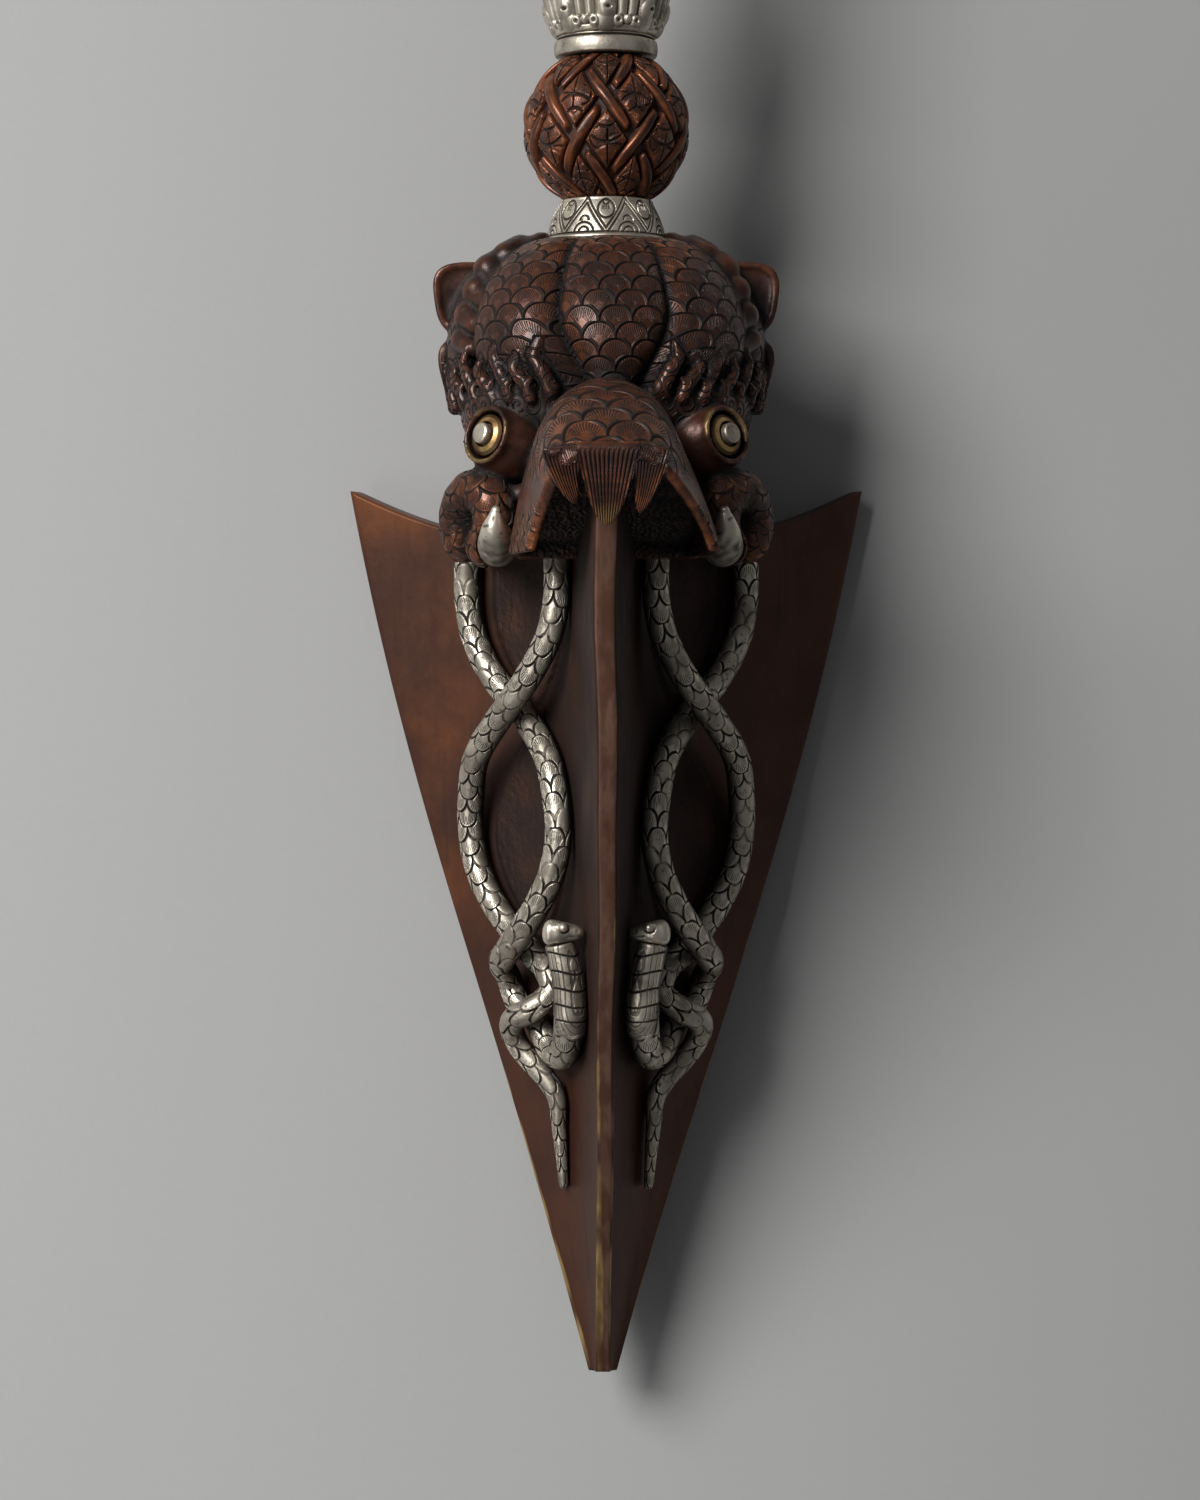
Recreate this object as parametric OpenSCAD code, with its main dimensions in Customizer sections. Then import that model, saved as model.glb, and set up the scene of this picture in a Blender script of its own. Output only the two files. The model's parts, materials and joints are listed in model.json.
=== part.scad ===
// Ritual dagger with a three-finned blade, standing point down.
// Origin: centre of the flat tip. +Z runs up the axis, the snout looks along -Y.

/* [Blade] */
// Height of the fins' upper corners above the tip
blade_h = 142; // [130:1:155]
// Distance from the axis to a fin's upper corner
fin_r = 48; // [42:0.5:52]
// Distance from the axis to a fin's edge at the tip
tip_r = 2.2; // [1.8:0.1:3]
// Width of a fin's flat edge at its upper corner
edge_w = 4; // [3:0.1:5]
// Width of a fin's flat edge just above the tip
edge_w_low = 2.5; // [2.2:0.1:2.8]
// How far the fin's outline bows out of a straight line, as a share
fin_belly = 0.09; // [0:0.01:0.14]
// Distance from the axis to the middle of a face, in the upper half
core_r = 10.4; // [9:0.1:12]
// Height at which the faces reach that distance
core_full_z = 84; // [70:1:100]
// Height of the shoulder where it leaves the middle
shoulder_z = 133; // [131:0.5:136]
// How strongly the shoulder sweeps up to the corner
shoulder_sweep = 1.8; // [1.4:0.1:2.4]
// Radius of the round tang that enters the head
tang_r = 6; // [4.5:0.1:7]
// Height of the tang's top
tang_top = 150; // [146:1:156]

/* [Rod] */
// Radius of the tie rod through the handle
rod_r = 2.5; // [2:0.1:3]
// Depth of the rod's seat in the tang
rod_seat = 16; // [10:1:18]
// Clearance round the rod
rod_gap = 0.15; // [0.1:0.05:0.3]

/* [Serpents] */
// Radius of a serpent's body
serpent_r = 2.1; // [1.6:0.05:2.3]
// Height of the first crossing, from the top
cross_1 = 104.5; // [102:0.5:110]
// Height of the second crossing
cross_2 = 67; // [66:0.5:70]
// Height of the third crossing
cross_3 = 56; // [54:0.5:57]
// Half the width of the two upper loops
loop_w = 12.5; // [9:0.5:13]
// Half the width of the small lowest loop
low_loop_w = 5.7; // [4.8:0.1:6.5]
// How far a braid beside the front fin stands off its face's middle
braid_shift = 3.5; // [1:0.5:4]
// Height of the tail's point
tail_z = 30; // [26:1:34]
// Radius of the tail at its point
tail_r = 0.7; // [0.5:0.1:1]
// Radius of the raised neck
neck_r = 2.5; // [2:0.1:2.6]
// Height of the neck's top
neck_top = 69; // [67:0.5:71]
// Clearance between a serpent and what it lies on
seat_gap = 0.2; // [0.15:0.05:0.4]

/* [Head] */
// Height of the head's underside
head_z = 129.5; // [128:0.5:131]
// Height of the head's flat top
head_top = 180.3; // [176:0.1:186]
// Largest radius of the skull
skull_r = 25.5; // [23:0.5:27]
// Height of the skull's largest radius
skull_mid = 163; // [160:0.5:166]
// Radius of the waist at the eyes
waist_r = 18; // [16:0.5:20]
// Height of the waist
waist_z = 146; // [143:0.5:149]
// Number of lobes round the skull
lobes = 8; // [6:2:10]
// Depth of the grooves between lobes, as a share of the radius
lobe_groove = 0.13; // [0.05:0.01:0.18]
// Distance from the axis to the snout's front
snout_len = 52.5; // [50.5:0.5:55]
// Half the snout's width at its root
snout_w = 13.8; // [12:0.2:15]
// Height of the snout's ridge
snout_top = 156.3; // [152:0.1:158]
// Height of the snout's upper front edge
snout_edge = 144; // [143:0.1:146]
// Thickness of the walls round the mouth
mouth_wall = 1.8; // [1.4:0.1:2.4]
// Height of the middle fringe flap's point
fringe_tip = 132.6; // [131:0.2:136]

/* [Eyes and tusks] */
// Angle of an eye's stalk from straight ahead
eye_turn = 44; // [38:1:48]
// Upward tilt of an eye's stalk
eye_tilt = 12; // [5:1:20]
// Height at which an eye's stalk meets the axis
eye_z = 142.5; // [142:0.1:145]
// Radius of an eye's copper rim
eye_r = 4.8; // [4.2:0.1:5.2]
// Distance from the axis to the rim's face
eye_out = 28; // [26:0.5:29]
// Radius of the brass eyeball
ball_r = 3.3; // [2.8:0.1:3.6]
// Radius of the silver pupil
pupil_r = 1.7; // [1.2:0.1:2]
// Radius of a tusk at its root
tusk_r = 3.1; // [2.4:0.1:3.2]
// Height of a tusk's point above its root
tusk_len = 6.5; // [6:0.5:9]

/* [Handle] */
// Radius of the collar's lower edge
collar_r = 9.7; // [9:0.1:11]
// Radius of the collar's upper edge
collar_top_r = 7.3; // [6.5:0.1:8]
// Height of a collar
collar_h = 6.6; // [5:0.1:9]
// Largest radius of a knot
knot_r = 13.2; // [11:0.1:15]
// Height of a knot between its flat ends
knot_h = 23.1; // [20:0.1:25]
// Strands each way round a knot
knot_strands = 8; // [6:1:10]
// Radius of a neck ring
ring_r = 8.3; // [7.6:0.1:9]
// Height of a neck ring
ring_h = 3; // [2:0.1:4]
// Largest radius of a lotus cup
cup_r = 11.6; // [10:0.1:12.5]
// Height of a lotus cup
cup_h = 18; // [14:0.5:22]
// Petals round a lotus cup
petals = 14; // [10:2:18]
// Radius of the waisted grip at its middle
grip_r = 7.4; // [6:0.1:8]
// Height of one grip half
grip_h = 15; // [10:0.5:20]
// Flutes round the grip
grip_flutes = 12; // [8:2:16]
// Radius of the middle band
band_r = 9.6; // [8.8:0.1:11]
// Height of the middle band
band_h = 6; // [4:0.5:8]

/* [Finial] */
// Radius of the finial's base
base_r = 10.5; // [9:0.1:12]
// Height of the finial's base
base_h = 7; // [5:0.5:9]
// Height of the curved prongs
prong_h = 34; // [28:1:40]
// How far the prongs bow out
prong_out = 11; // [9:0.5:13]
// Thickness of a prong
prong_w = 3.6; // [3:0.1:4.4]
// Height of the point above the prongs
point_h = 11; // [8:0.5:14]

/* [Hidden] */
$fn = 64;

copper = "#5a2f22";
blade_brown = "#4a2a20";
silver = "#b9b5aa";
brass = "#b08a45";
steel = "#77736c";

fins = 3;
half_face = 180 / fins;
blade_rings = 14;
face_steps = 14;
shoulder_start = 12.4;
tang_sunk = 6;
cut_over = 2;
front = -90;

// The handle's joints, from the head up
z_collar = head_top;
z_knot = z_collar + collar_h;
z_ring = z_knot + knot_h;
z_cup = z_ring + ring_h;
z_grip = z_cup + cup_h - 3;
z_band = z_grip + grip_h;
z_mid = z_band + band_h / 2;
z_upper_collar = 2 * z_mid - z_knot;
z_base = z_upper_collar + collar_h;
z_prongs = z_base + base_h;

// Shape of the blade

function fin_at(z) = let (u = max(0, min(1, z / blade_h)))
    tip_r + (fin_r - tip_r) * u * (1 + fin_belly * sin(180 * pow(u, 1.15)));

function edge_at(z) = edge_w_low + (edge_w - edge_w_low) * pow(max(z, 0) / blade_h, 1.5);

function core_at(z) = let (low = edge_at(0) / sqrt(3) + 0.35, u = min(1, z / core_full_z))
    low + (core_r - low) * u * (1 + 0.18 * sin(180 * u));

// Half a face's width, up to the fins' edges
function face_end(z) = fin_at(z) * sin(half_face) - edge_at(z) * cos(half_face) / 2;

// Distance from the axis to a face, measured square to the face, at u along it
function face_at(u, z) = let (
        half = edge_at(z) / sqrt(3),
        c = core_at(z) - half,
        s = max(-1, min(1, u / face_end(z))))
    half + sqrt(u * u / 3 + c * c * (1 - s * s));

function turned(p, a) = [p[0] * cos(a) - p[1] * sin(a), p[0] * sin(a) + p[1] * cos(a)];

// Point i of face k at height z, from one fin's edge to the next
function face_u(i, z) = face_end(z) * (2 * i / face_steps - 1);

function face_point(k, i, z) = let (u = face_u(i, z))
    turned([face_at(u, z), u], front + (2 * k + 1) * half_face);

function blade_ring(z) = [for (k = [0:fins - 1]) for (i = [0:face_steps]) face_point(k, i, z)];

// Height of the shoulder at distance r along a fin
function shoulder_at(r) = shoulder_z + (blade_h - shoulder_z)
    * pow(max(0, (r - shoulder_start) / (fin_r - shoulder_start)), shoulder_sweep);

// A skin over rings of equal length, closed by a flat cap at each end.
// Each patch is folded along the diagonal that stands further from the axis.
function patch(rings, j, i, k, n) = let (
        p = rings[j][i] + rings[j + 1][k],
        q = rings[j][k] + rings[j + 1][i],
        a = j * n + i, b = j * n + k, c = (j + 1) * n + k, d = (j + 1) * n + i)
    norm([p[0], p[1]]) > norm([q[0], q[1]]) ? [[a, c, b], [a, d, c]] : [[a, d, b], [b, d, c]];

function side_faces(rings) = let (n = len(rings[0]))
    [for (j = [0:len(rings) - 2]) for (i = [0:n - 1]) each patch(rings, j, i, (i + 1) % n, n)];

module skin(rings) {
    n = len(rings[0]);
    last = (len(rings) - 1) * n;
    polyhedron(
        points = [for (r = rings) each r],
        faces = concat([[for (i = [0:n - 1]) i]], side_faces(rings), [[for (i = [n - 1:-1:0]) last + i]]),
        convexity = 6);
}

// Distance along the fin to point i of a face at height z
function along_fin(i, z) = let (u = abs(face_u(i, z)))
    face_at(u, z) * cos(half_face) + u * sin(half_face);

// Height at which point i meets the shoulder, found by a few steps towards it
function top_at(i, z = blade_h, tries = 6) =
    tries == 0 ? z : top_at(i, shoulder_at(along_fin(i, z)), tries - 1);

// The three fins, up to the shoulders. Rings share the height between the tip and the shoulder,
// and the top is a strip along each fin and a flat middle.
module fins_loft() {
    rings = [for (j = [0:blade_rings]) [for (k = [0:fins - 1]) for (i = [0:face_steps])
        let (z = top_at(i) * j / blade_rings) concat(face_point(k, i, z), z)]];
    per_face = face_steps + 1;
    n = fins * per_face;
    last = blade_rings * n;
    mid = face_steps / 2;
    polyhedron(
        points = [for (r = rings) each r],
        faces = concat(
            [[for (i = [0:n - 1]) i]],
            side_faces(rings),
            [for (k = [0:fins - 1]) for (i = [0:mid - 2]) let (
                    right = last + k * per_face + i,
                    left = last + ((k + fins - 1) % fins) * per_face + face_steps - i)
                [right + 1, right, left, left - 1]],
            [[for (k = [fins - 1:-1:0]) for (i = [mid + 1:-1:mid - 1]) last + k * per_face + i]]),
        convexity = 6);
}

// What lies above the swept shoulders of the three fins
module above_shoulders(lift) {
    over = blade_h + lift + cut_over;
    for (k = [0:fins - 1]) rotate([0, 0, front + k * 2 * half_face]) rotate([90, 0, 0])
        linear_extrude(2 * shoulder_start, center = true) polygon(concat(
            [[0, over], [0, shoulder_z + lift]],
            [for (i = [face_steps / 2 - 1:-1:0]) [along_fin(i, top_at(i)), top_at(i) + lift]],
            [[fin_r + cut_over, blade_h + lift], [fin_r + cut_over, over]]));
}

module blade() color(blade_brown) {
    difference() {
        union() {
            fins_loft();
            translate([0, 0, shoulder_z - tang_sunk])
                cylinder(r = tang_r, h = tang_top - shoulder_z + tang_sunk);
        }
        translate([0, 0, tang_top - rod_seat])
            cylinder(r = rod_r + rod_gap, h = rod_seat + cut_over);
    }
}

module core_rod() color(steel) {
    translate([0, 0, tang_top - rod_seat + rod_gap])
        cylinder(r = rod_r, h = z_prongs + 4 - tang_top + rod_seat - rod_gap);
}

module rod_bore(z, h, sides = $fn) {
    translate([0, 0, z - cut_over]) cylinder(r = rod_r + rod_gap, h = h + 2 * cut_over, $fn = sides);
}

// Smooth path through control points, steps to a span
function spline(p, i, t) = let (
        a = p[max(i - 1, 0)], b = p[i], c = p[i + 1], d = p[min(i + 2, len(p) - 1)])
    0.5 * (2 * b + (c - a) * t + (2 * a - 5 * b + 4 * c - d) * t * t
        + (3 * b - a - 3 * c + d) * t * t * t);

function smooth_path(p, steps) = concat(
    [for (i = [0:len(p) - 2]) for (j = [0:steps - 1]) spline(p, i, j / steps)],
    [p[len(p) - 1]]);

function unit(v) = v / norm(v);

function flat3(p) = [p[0], p[1], p[2]];

// Rings of a round tube whose path points are [x, y, z, radius]
function tube_rings(path, sides, up) = [for (i = [0:len(path) - 1]) let (
        t = unit(flat3(path[min(i + 1, len(path) - 1)]) - flat3(path[max(i - 1, 0)])),
        e = unit(cross(t, up)),
        f = cross(e, t))
    [for (k = [0:sides - 1]) let (a = 360 * k / sides)
        flat3(path[i]) + path[i][3] * (cos(a) * e - sin(a) * f)]];

// Serpents, in a face's own frame: u along the face, n square to it, then z and radius

serpent_sides = 7;
serpent_steps = 2;
braid_step = 30;
mouth_gap = 0.2;
serpent_lift = 2 * serpent_r + seat_gap;
loop_0 = cross_1 + (cross_1 - cross_2) / 2;

// Where a tube of radius r lies on the face
function lying_n(u, z, r) = let (d = face_at(u + 0.5, z) - face_at(u - 0.5, z))
    face_at(u, z) + (r + seat_gap) * sqrt(1 + d * d);

function on_face(u, z, r, lift = 0) = [u, lying_n(u, z, r) + lift, z, r];

function full_wave(c) = sign(c) * pow(abs(c), 0.8);

function phase_z(p) = lookup(p, [[0, loop_0], [90, cross_1], [270, cross_2], [450, cross_3]]);

// The braid that both strands share; side is 1 for the strand that starts next to the front fin
function braid(side, shift) = concat(
    [on_face(shift - side * loop_w, head_z - mouth_gap, serpent_r)],
    [for (p = [0:braid_step:450]) let (
            w = p < 270 ? loop_w : low_loop_w,
            over = max(0, side * sin(p)))
        on_face(shift - side * w * full_wave(cos(p)), phase_z(p),
            serpent_r * (p > 270 ? 0.93 : 1), serpent_lift * over * over)]);

function tail(shift) = [
    on_face(shift + 1.4, cross_3 - 4, serpent_r * 0.85, 2.8),
    on_face(shift - 2.6, cross_3 - 11, serpent_r * 0.75),
    on_face(shift - 2.2, (cross_3 + tail_z) / 2 - 4, serpent_r * 0.55),
    on_face(shift - 1, tail_z, tail_r)];

// The head's strand curls up beside the fin
neck_off = 14.8;
head_lift = 1.2;

function neck(shift) = [
    on_face(shift - 4, cross_3 - 4.4, serpent_r),
    on_face(shift - 9, cross_3 - 4.5, serpent_r * 1.05),
    on_face(shift - neck_off + 0.5, cross_3 + 1, neck_r),
    on_face(shift - neck_off, (cross_3 + neck_top) / 2 + 1, neck_r),
    on_face(shift - neck_off, neck_top, neck_r * 0.92, head_lift)];

function to_space(p, a) = concat(turned([p[1], p[0]], a), [p[2], p[3]]);

module serpent(points, a) {
    path = [for (p = smooth_path(points, serpent_steps)) to_space(p, a)];
    skin(tube_rings(path, serpent_sides, [cos(a), sin(a), 0]));
}

// Head turned to the fin, level across the neck
module serpent_head(a, shift, reach = 2.9) {
    crown = on_face(shift - neck_off, neck_top, neck_r, head_lift + 0.6) + [-0.6, 0, neck_r * 0.6, 0];
    nose = crown + [-sin(33), -cos(33), -0.06, 0] * reach;
    hull() {
        translate(flat3(to_space(crown, a))) sphere(r = neck_r * 1.04, $fn = 10);
        translate(flat3(to_space(nose, a))) sphere(r = neck_r * 0.5, $fn = 8);
    }
}

module head_serpent(a, shift) color(silver) {
    serpent(concat(braid(-1, shift), neck(shift)), a);
    serpent_head(a, shift);
}

module tail_serpent(a, shift) color(silver) {
    serpent(concat(braid(1, shift), tail(shift)), a);
}

right_face = front + half_face;
rear_face = right_face + 2 * half_face;

module right_head_serpent() head_serpent(right_face, braid_shift);
module right_tail_serpent() tail_serpent(right_face, braid_shift);
module left_head_serpent() mirror([1, 0, 0]) head_serpent(right_face, braid_shift);
module left_tail_serpent() mirror([1, 0, 0]) tail_serpent(right_face, braid_shift);
module rear_head_serpent() head_serpent(rear_face, 0);
module rear_tail_serpent() tail_serpent(rear_face, 0);

// Shape of the head

skull_sides = 48;
skull_rings = 12;
jaw_bulge = 3;
top_r = collar_r + 0.8;

function skull_at(z) = z > skull_mid
    ? top_r + (skull_r - top_r) * sqrt(max(0, 1 - pow((z - skull_mid) / (head_top - skull_mid), 2)))
    : z > waist_z
        ? waist_r + (skull_r - waist_r) * (0.5 - 0.5 * cos(180 * (z - waist_z) / (skull_mid - waist_z)))
        : waist_r + jaw_bulge * sin(180 * (waist_z - z) / (waist_z - head_z) * 0.7);

skull_turn = 3;
lobe_low = skull_mid - 10;
lobe_high = skull_mid + 5;

function lobe(w, z) = let (deep = lobe_groove * max(0, min(1, (z - waist_z) / 8)))
    1 - deep * (1 - pow(abs(cos(lobes * w / 2)), 0.6));

// Angle from straight ahead of a place w on the evenly parted skull. The front lobe narrows
// towards the snout, and its neighbours widen to meet it.
function lobe_angle(w, z) = let (
        half = 180 / lobes,
        u = max(0, min(1, (z - lobe_low) / (lobe_high - lobe_low))),
        edge = half * (0.42 + 0.58 * u * u * (3 - 2 * u)),
        side = abs(w))
    skull_turn + sign(w) * (side < half ? side / half * edge
        : side < 3 * half ? edge + (side - half) * (3 * half - edge) / (2 * half) : side);

module skull() {
    skin([for (j = [0:skull_rings]) let (
            z = head_z + (head_top - head_z) * sin(90 * j / skull_rings))
        [for (i = [0:skull_sides - 1]) let (
                w = 360 * i / skull_sides - 180,
                a = front + lobe_angle(w, z))
            skull_at(z) * lobe(w, z) * [cos(a), sin(a), 0] + [0, 0, z]]]);
}

// The snout is a run of arches from the skull to the front
snout_root = 14;
snout_crest = 28;
arch_steps = 12;
snout_rings = 8;

wall_start = 20;
snout_taper = 1.18;
arch_back = 0.72;
arch_front = 0.4;

function snout_half(d) = snout_w
    * sqrt(1 - pow(max(0, d - wall_start) / (snout_taper * snout_len - wall_start), 2));

function arch_power(d) = arch_back + (arch_front - arch_back) * (d - snout_root) / (snout_len - snout_root);

function snout_ridge(d) = let (
        h = snout_top - head_z,
        share = (snout_edge - head_z) / h,
        reach = (snout_len - snout_crest) / sqrt(1 - share * share))
    head_z + h * sqrt(1 - pow((d - snout_crest) / reach, 2));

// The lips flare out below
lip_flare = 0.18;

function flared(d, a) = 1 + lip_flare * max(0, min(1, (d - wall_start) / 10)) * pow(1 - sin(a), 2);

// One arch of the snout at distance d from the axis, from its foot low up to high
function snout_arch(d, at, wall, low, high) = [for (i = [0:arch_steps]) let (a = 180 * i / arch_steps)
    [(snout_half(d) * flared(d, a) - wall) * cos(a), -at,
     low + (high - low) * pow(max(0, sin(a)), arch_power(d))]];

module snout() {
    skin([for (j = [0:snout_rings]) let (
            d = snout_root + (snout_len - snout_root) * sin(90 * j / snout_rings))
        snout_arch(d, d, 0, head_z, snout_ridge(d))]);
}

// The open mouth, under a palate that slopes down to the throat
palate_front = snout_edge - 1.4;
throat = 20;
mouth_rings = 5;
lip_back = 11.5;

function palate_at(d) = let (u = min(1, (d - throat) / (0.8 * (snout_len - throat))))
    head_z + 1.5 + (palate_front - head_z - 1.5) * u * (2 - u);

module mouth() {
    skin([for (j = [0:mouth_rings]) let (
            d = throat + (snout_len - throat) * j / mouth_rings)
        snout_arch(d, j == mouth_rings ? d + cut_over : d, mouth_wall, head_z - cut_over, palate_at(d))]);
    // The lips fall back from the front edge
    rotate([90, 0, 90]) linear_extrude(3 * snout_w, center = true)
        polygon([[-snout_len - cut_over, snout_edge - 1], [-snout_len, snout_edge - 1],
                 [lip_back - snout_len, head_z - cut_over], [-snout_len - cut_over, head_z - cut_over]]);
}

module ball(p, r, sides = 14) {
    translate(p) sphere(r = r, $fn = sides);
}

// A rounded run through a list of points, each with its radius
module run(points, sides = 12) {
    for (i = [0:len(points) - 2]) hull() {
        ball(flat3(points[i]), points[i][3], sides);
        ball(flat3(points[i + 1]), points[i + 1][3], sides);
    }
}

function polar(r, a, z) = [r * cos(a), r * sin(a), z];

function spot(r, a, z, w) = concat(polar(r, a, z), [w]);

// Rolled jaw corner round the root of a tusk
jaw_sag = 2;
under_cut = 24;
jaw_turn = 52;
jaw_ring = 4.6;
jaw_tube = 4;
jaw_out = 27.4;

module jaw_corner() {
    rotate([0, 0, front + jaw_turn]) translate([jaw_out - 1.5, 0, head_z + jaw_tube + 1.6])
        rotate([0, 90, 0]) rotate([0, 0, 300])
            rotate_extrude(angle = 270, $fn = 16) translate([jaw_ring, 0]) circle(jaw_tube, $fn = 8);
    run([spot(17, front + jaw_turn, head_z + 4.5, 4.6), spot(jaw_out - 3, front + jaw_turn, head_z + 5, 4)], 8);
}

// Flames of the brow, leaning over the side lobe
flames = 6;
flame_turn = 9.5;
flame_start = 37;

// A spot on the skull, raised by lift
function on_skull(w, z, r, lift) = spot(skull_at(z) * lobe(w, z) + lift, front + lobe_angle(w, z), z, r);

module brow() {
    for (i = [0:flames - 1]) {
        w = flame_start + flame_turn * i;
        run([on_skull(w, skull_mid - 9.5, 2.4, 0.8), on_skull(w + 3, skull_mid - 4, 1.5, 0.8),
             on_skull(w + 3, skull_mid, 0.5, 0.3)], 6);
    }
}

// Two smooth ear flaps, one above the other
ear_out = 26.4;
ear_back = 19;
ear_rim = 1.3;

module ear_flap(low, high, lean) {
    hull() {
        ball(polar(ear_back, front + 92, low), 1.9, 8);
        ball(polar(ear_back, front + 92, high), 1.9, 8);
        ball(polar(ear_out - 1.4 - lean, front + 87, low), ear_rim, 8);
        ball(polar(ear_out - lean, front + 87, (low + high) / 2 + 3), ear_rim, 8);
        ball(polar(ear_out - 1 - lean, front + 87, high), ear_rim, 8);
    }
}

module ears() {
    ear_flap(skull_mid + 3, skull_mid + 12.5, 0);
    ear_flap(skull_mid - 8, skull_mid - 0.5, 0.6);
}

// Lumpy roll between the side lobe and the ear
module mane_roll() {
    run([spot(13, front + 68, head_top - 2.4, 2.2), spot(18.5, front + 73, head_top - 4.6, 3),
         spot(22, front + 75, head_top - 9.5, 2.8), spot(23, front + 76, head_top - 15, 2.2)], 8);
}

// Fringe under the snout's front edge: one middle flap and one to each side
flap_edge = 1.1;
flap_x = 6.6;
flap_back = 2;
flap_lean = 0.8;

module flap(x, back, tip, w) {
    hull() {
        translate([x, flap_edge + back - snout_len, snout_edge - flap_edge]) rotate([0, 90, 0])
            cylinder(r = flap_edge, h = 2 * w, center = true, $fn = 10);
        ball([x * flap_lean, flap_edge + back - snout_len, tip + flap_edge], flap_edge, 10);
    }
}

socket_depth = 4;
ball_h = 3.2;
pupil_seat = 1.5;
pupil_h = 3.4;
stalk_root = 10;
rim_bevel = 1.2;
eye_sides = 20;

module along_eye(from, side) {
    rotate([0, 0, front + side * eye_turn]) translate([0, 0, eye_z])
        rotate([0, 90 - eye_tilt, 0]) translate([0, 0, from]) children();
}

turret_r = 6.3;
turret_back = 5.6;

module eye_stalk(side) {
    length = eye_out - stalk_root;
    along_eye(eye_out - turret_back, side) sphere(r = turret_r, $fn = 12);
    along_eye(stalk_root, side) rotate_extrude($fn = eye_sides) polygon([
        [0, 0], [eye_r + 1.4, 0], [eye_r, length - rim_bevel], [eye_r - 0.7, length], [0, length]]);
}

module eye_socket(side) {
    along_eye(eye_out - socket_depth, side)
        cylinder(r = ball_r + 0.6, h = socket_depth + cut_over, $fn = eye_sides);
}

// Room for the blade's upper end, a little wider than the blade
module blade_room() {
    difference() {
        translate([0, 0, head_z - 6]) linear_extrude(blade_h - head_z + 8)
            offset(delta = seat_gap) polygon(blade_ring(blade_h));
        above_shoulders(seat_gap);
    }
    translate([0, 0, head_z - cut_over])
        cylinder(r = tang_r + seat_gap, h = tang_top - head_z + cut_over + seat_gap, $fn = 24);
}

tusk_sides = 10;
tusk_x = 17;
tusk_steps = 3;

function tusk_axis(side) = [
    [side * tusk_x, -13.5, head_z + 1.6, tusk_r],
    [side * tusk_x, -18.5, head_z + 1.4, tusk_r],
    [side * tusk_x, -22.5, head_z + 2.2, tusk_r * 0.92],
    [side * (tusk_x + 0.2), -25, head_z + tusk_len * 0.6, tusk_r * 0.68],
    [side * tusk_x, -26, head_z + tusk_len, 0.8]];

module tusk_solid(side, grow) {
    path = smooth_path(tusk_axis(side), tusk_steps);
    skin(tube_rings([for (p = path) concat(flat3(p), [p[3] + grow])], tusk_sides,
        [side, 0, 0]));
}

module makara_head() color(copper) {
    flap(0, 0, fringe_tip, 3.6);
    for (side = [-1, 1]) flap(side * flap_x, flap_back, fringe_tip + 3, 2.2);
    difference() {
        union() {
            skull();
            snout();
            for (side = [-1, 1]) {
                eye_stalk(side);
                mirror([side < 0 ? 1 : 0, 0, 0]) {
                    jaw_corner();
                    brow();
                    ears();
                    mane_roll();
                }
            }
        }
        mouth();
        blade_room();
        for (side = [-1, 1]) {
            eye_socket(side);
            tusk_solid(side, seat_gap);
        }
        rod_bore(tang_top, head_top - tang_top, 24);
        translate([0, 0, head_z - under_cut / 2])
            cube([3 * fin_r, 3 * fin_r, under_cut - 2 * jaw_sag], center = true);
    }
}

module tusk(side) color(silver) {
    tusk_solid(side, 0);
}

// Domed ball in its socket, with a hole for the pupil
module eyeball(side) color(brass) {
    dome = 1.1;
    dome_r = (ball_r * ball_r + dome * dome) / (2 * dome);
    along_eye(eye_out - socket_depth + seat_gap, side) difference() {
        intersection() {
            cylinder(r = ball_r, h = ball_h + dome);
            translate([0, 0, ball_h + dome - dome_r]) sphere(r = dome_r);
        }
        translate([0, 0, pupil_seat]) cylinder(r = pupil_r, h = ball_h + dome);
    }
}

module pupil(side) color(silver) {
    along_eye(eye_out - socket_depth + seat_gap + pupil_seat, side)
        cylinder(r = pupil_r - 0.05, h = pupil_h);
}

module left_eyeball() eyeball(-1);
module right_eyeball() eyeball(1);
module left_pupil() pupil(-1);
module right_pupil() pupil(1);
module left_tusk() tusk(-1);
module right_tusk() tusk(1);

// Turned pieces of the handle

module turned_ring(z, points) {
    translate([0, 0, z]) rotate_extrude() polygon(points);
}

function arc(cx, cy, rx, ry, from, to, steps) =
    [for (i = [0:steps]) let (a = from + (to - from) * i / steps) [cx + rx * cos(a), cy + ry * sin(a)]];

rod_hole = rod_r + rod_gap;

collar_steps = 8;
collar_lip = 0.5;

// Bell-shaped collar, wide end first
module collar_shape() {
    rotate_extrude() polygon(concat(
        [[rod_hole, 0], [collar_r, 0]],
        [for (i = [0:collar_steps]) let (t = i / collar_steps)
            [collar_r + (collar_top_r - collar_r) * t + 0.35 * sin(180 * t), collar_lip + (collar_h - 2 * collar_lip) * t]],
        [[collar_top_r, collar_h], [rod_hole, collar_h]]));
}

module lower_collar() color(silver) {
    translate([0, 0, z_collar]) collar_shape();
}

module upper_collar() color(silver) {
    translate([0, 0, z_base]) mirror([0, 0, 1]) collar_shape();
}

// Knot: a flattened ball with two sets of slanting strands that cross, and a swollen
// lozenge between them. The grid is such that every strand runs along its points.
knot_cell = 6;
knot_sides = knot_strands * knot_cell;
knot_rings = 2 * knot_cell;
strand_rise = 0.7;
lozenge_rise = 0.1;

function off_strand(i) = let (p = (i % knot_cell + knot_cell) % knot_cell) min(p, knot_cell - p);

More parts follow.
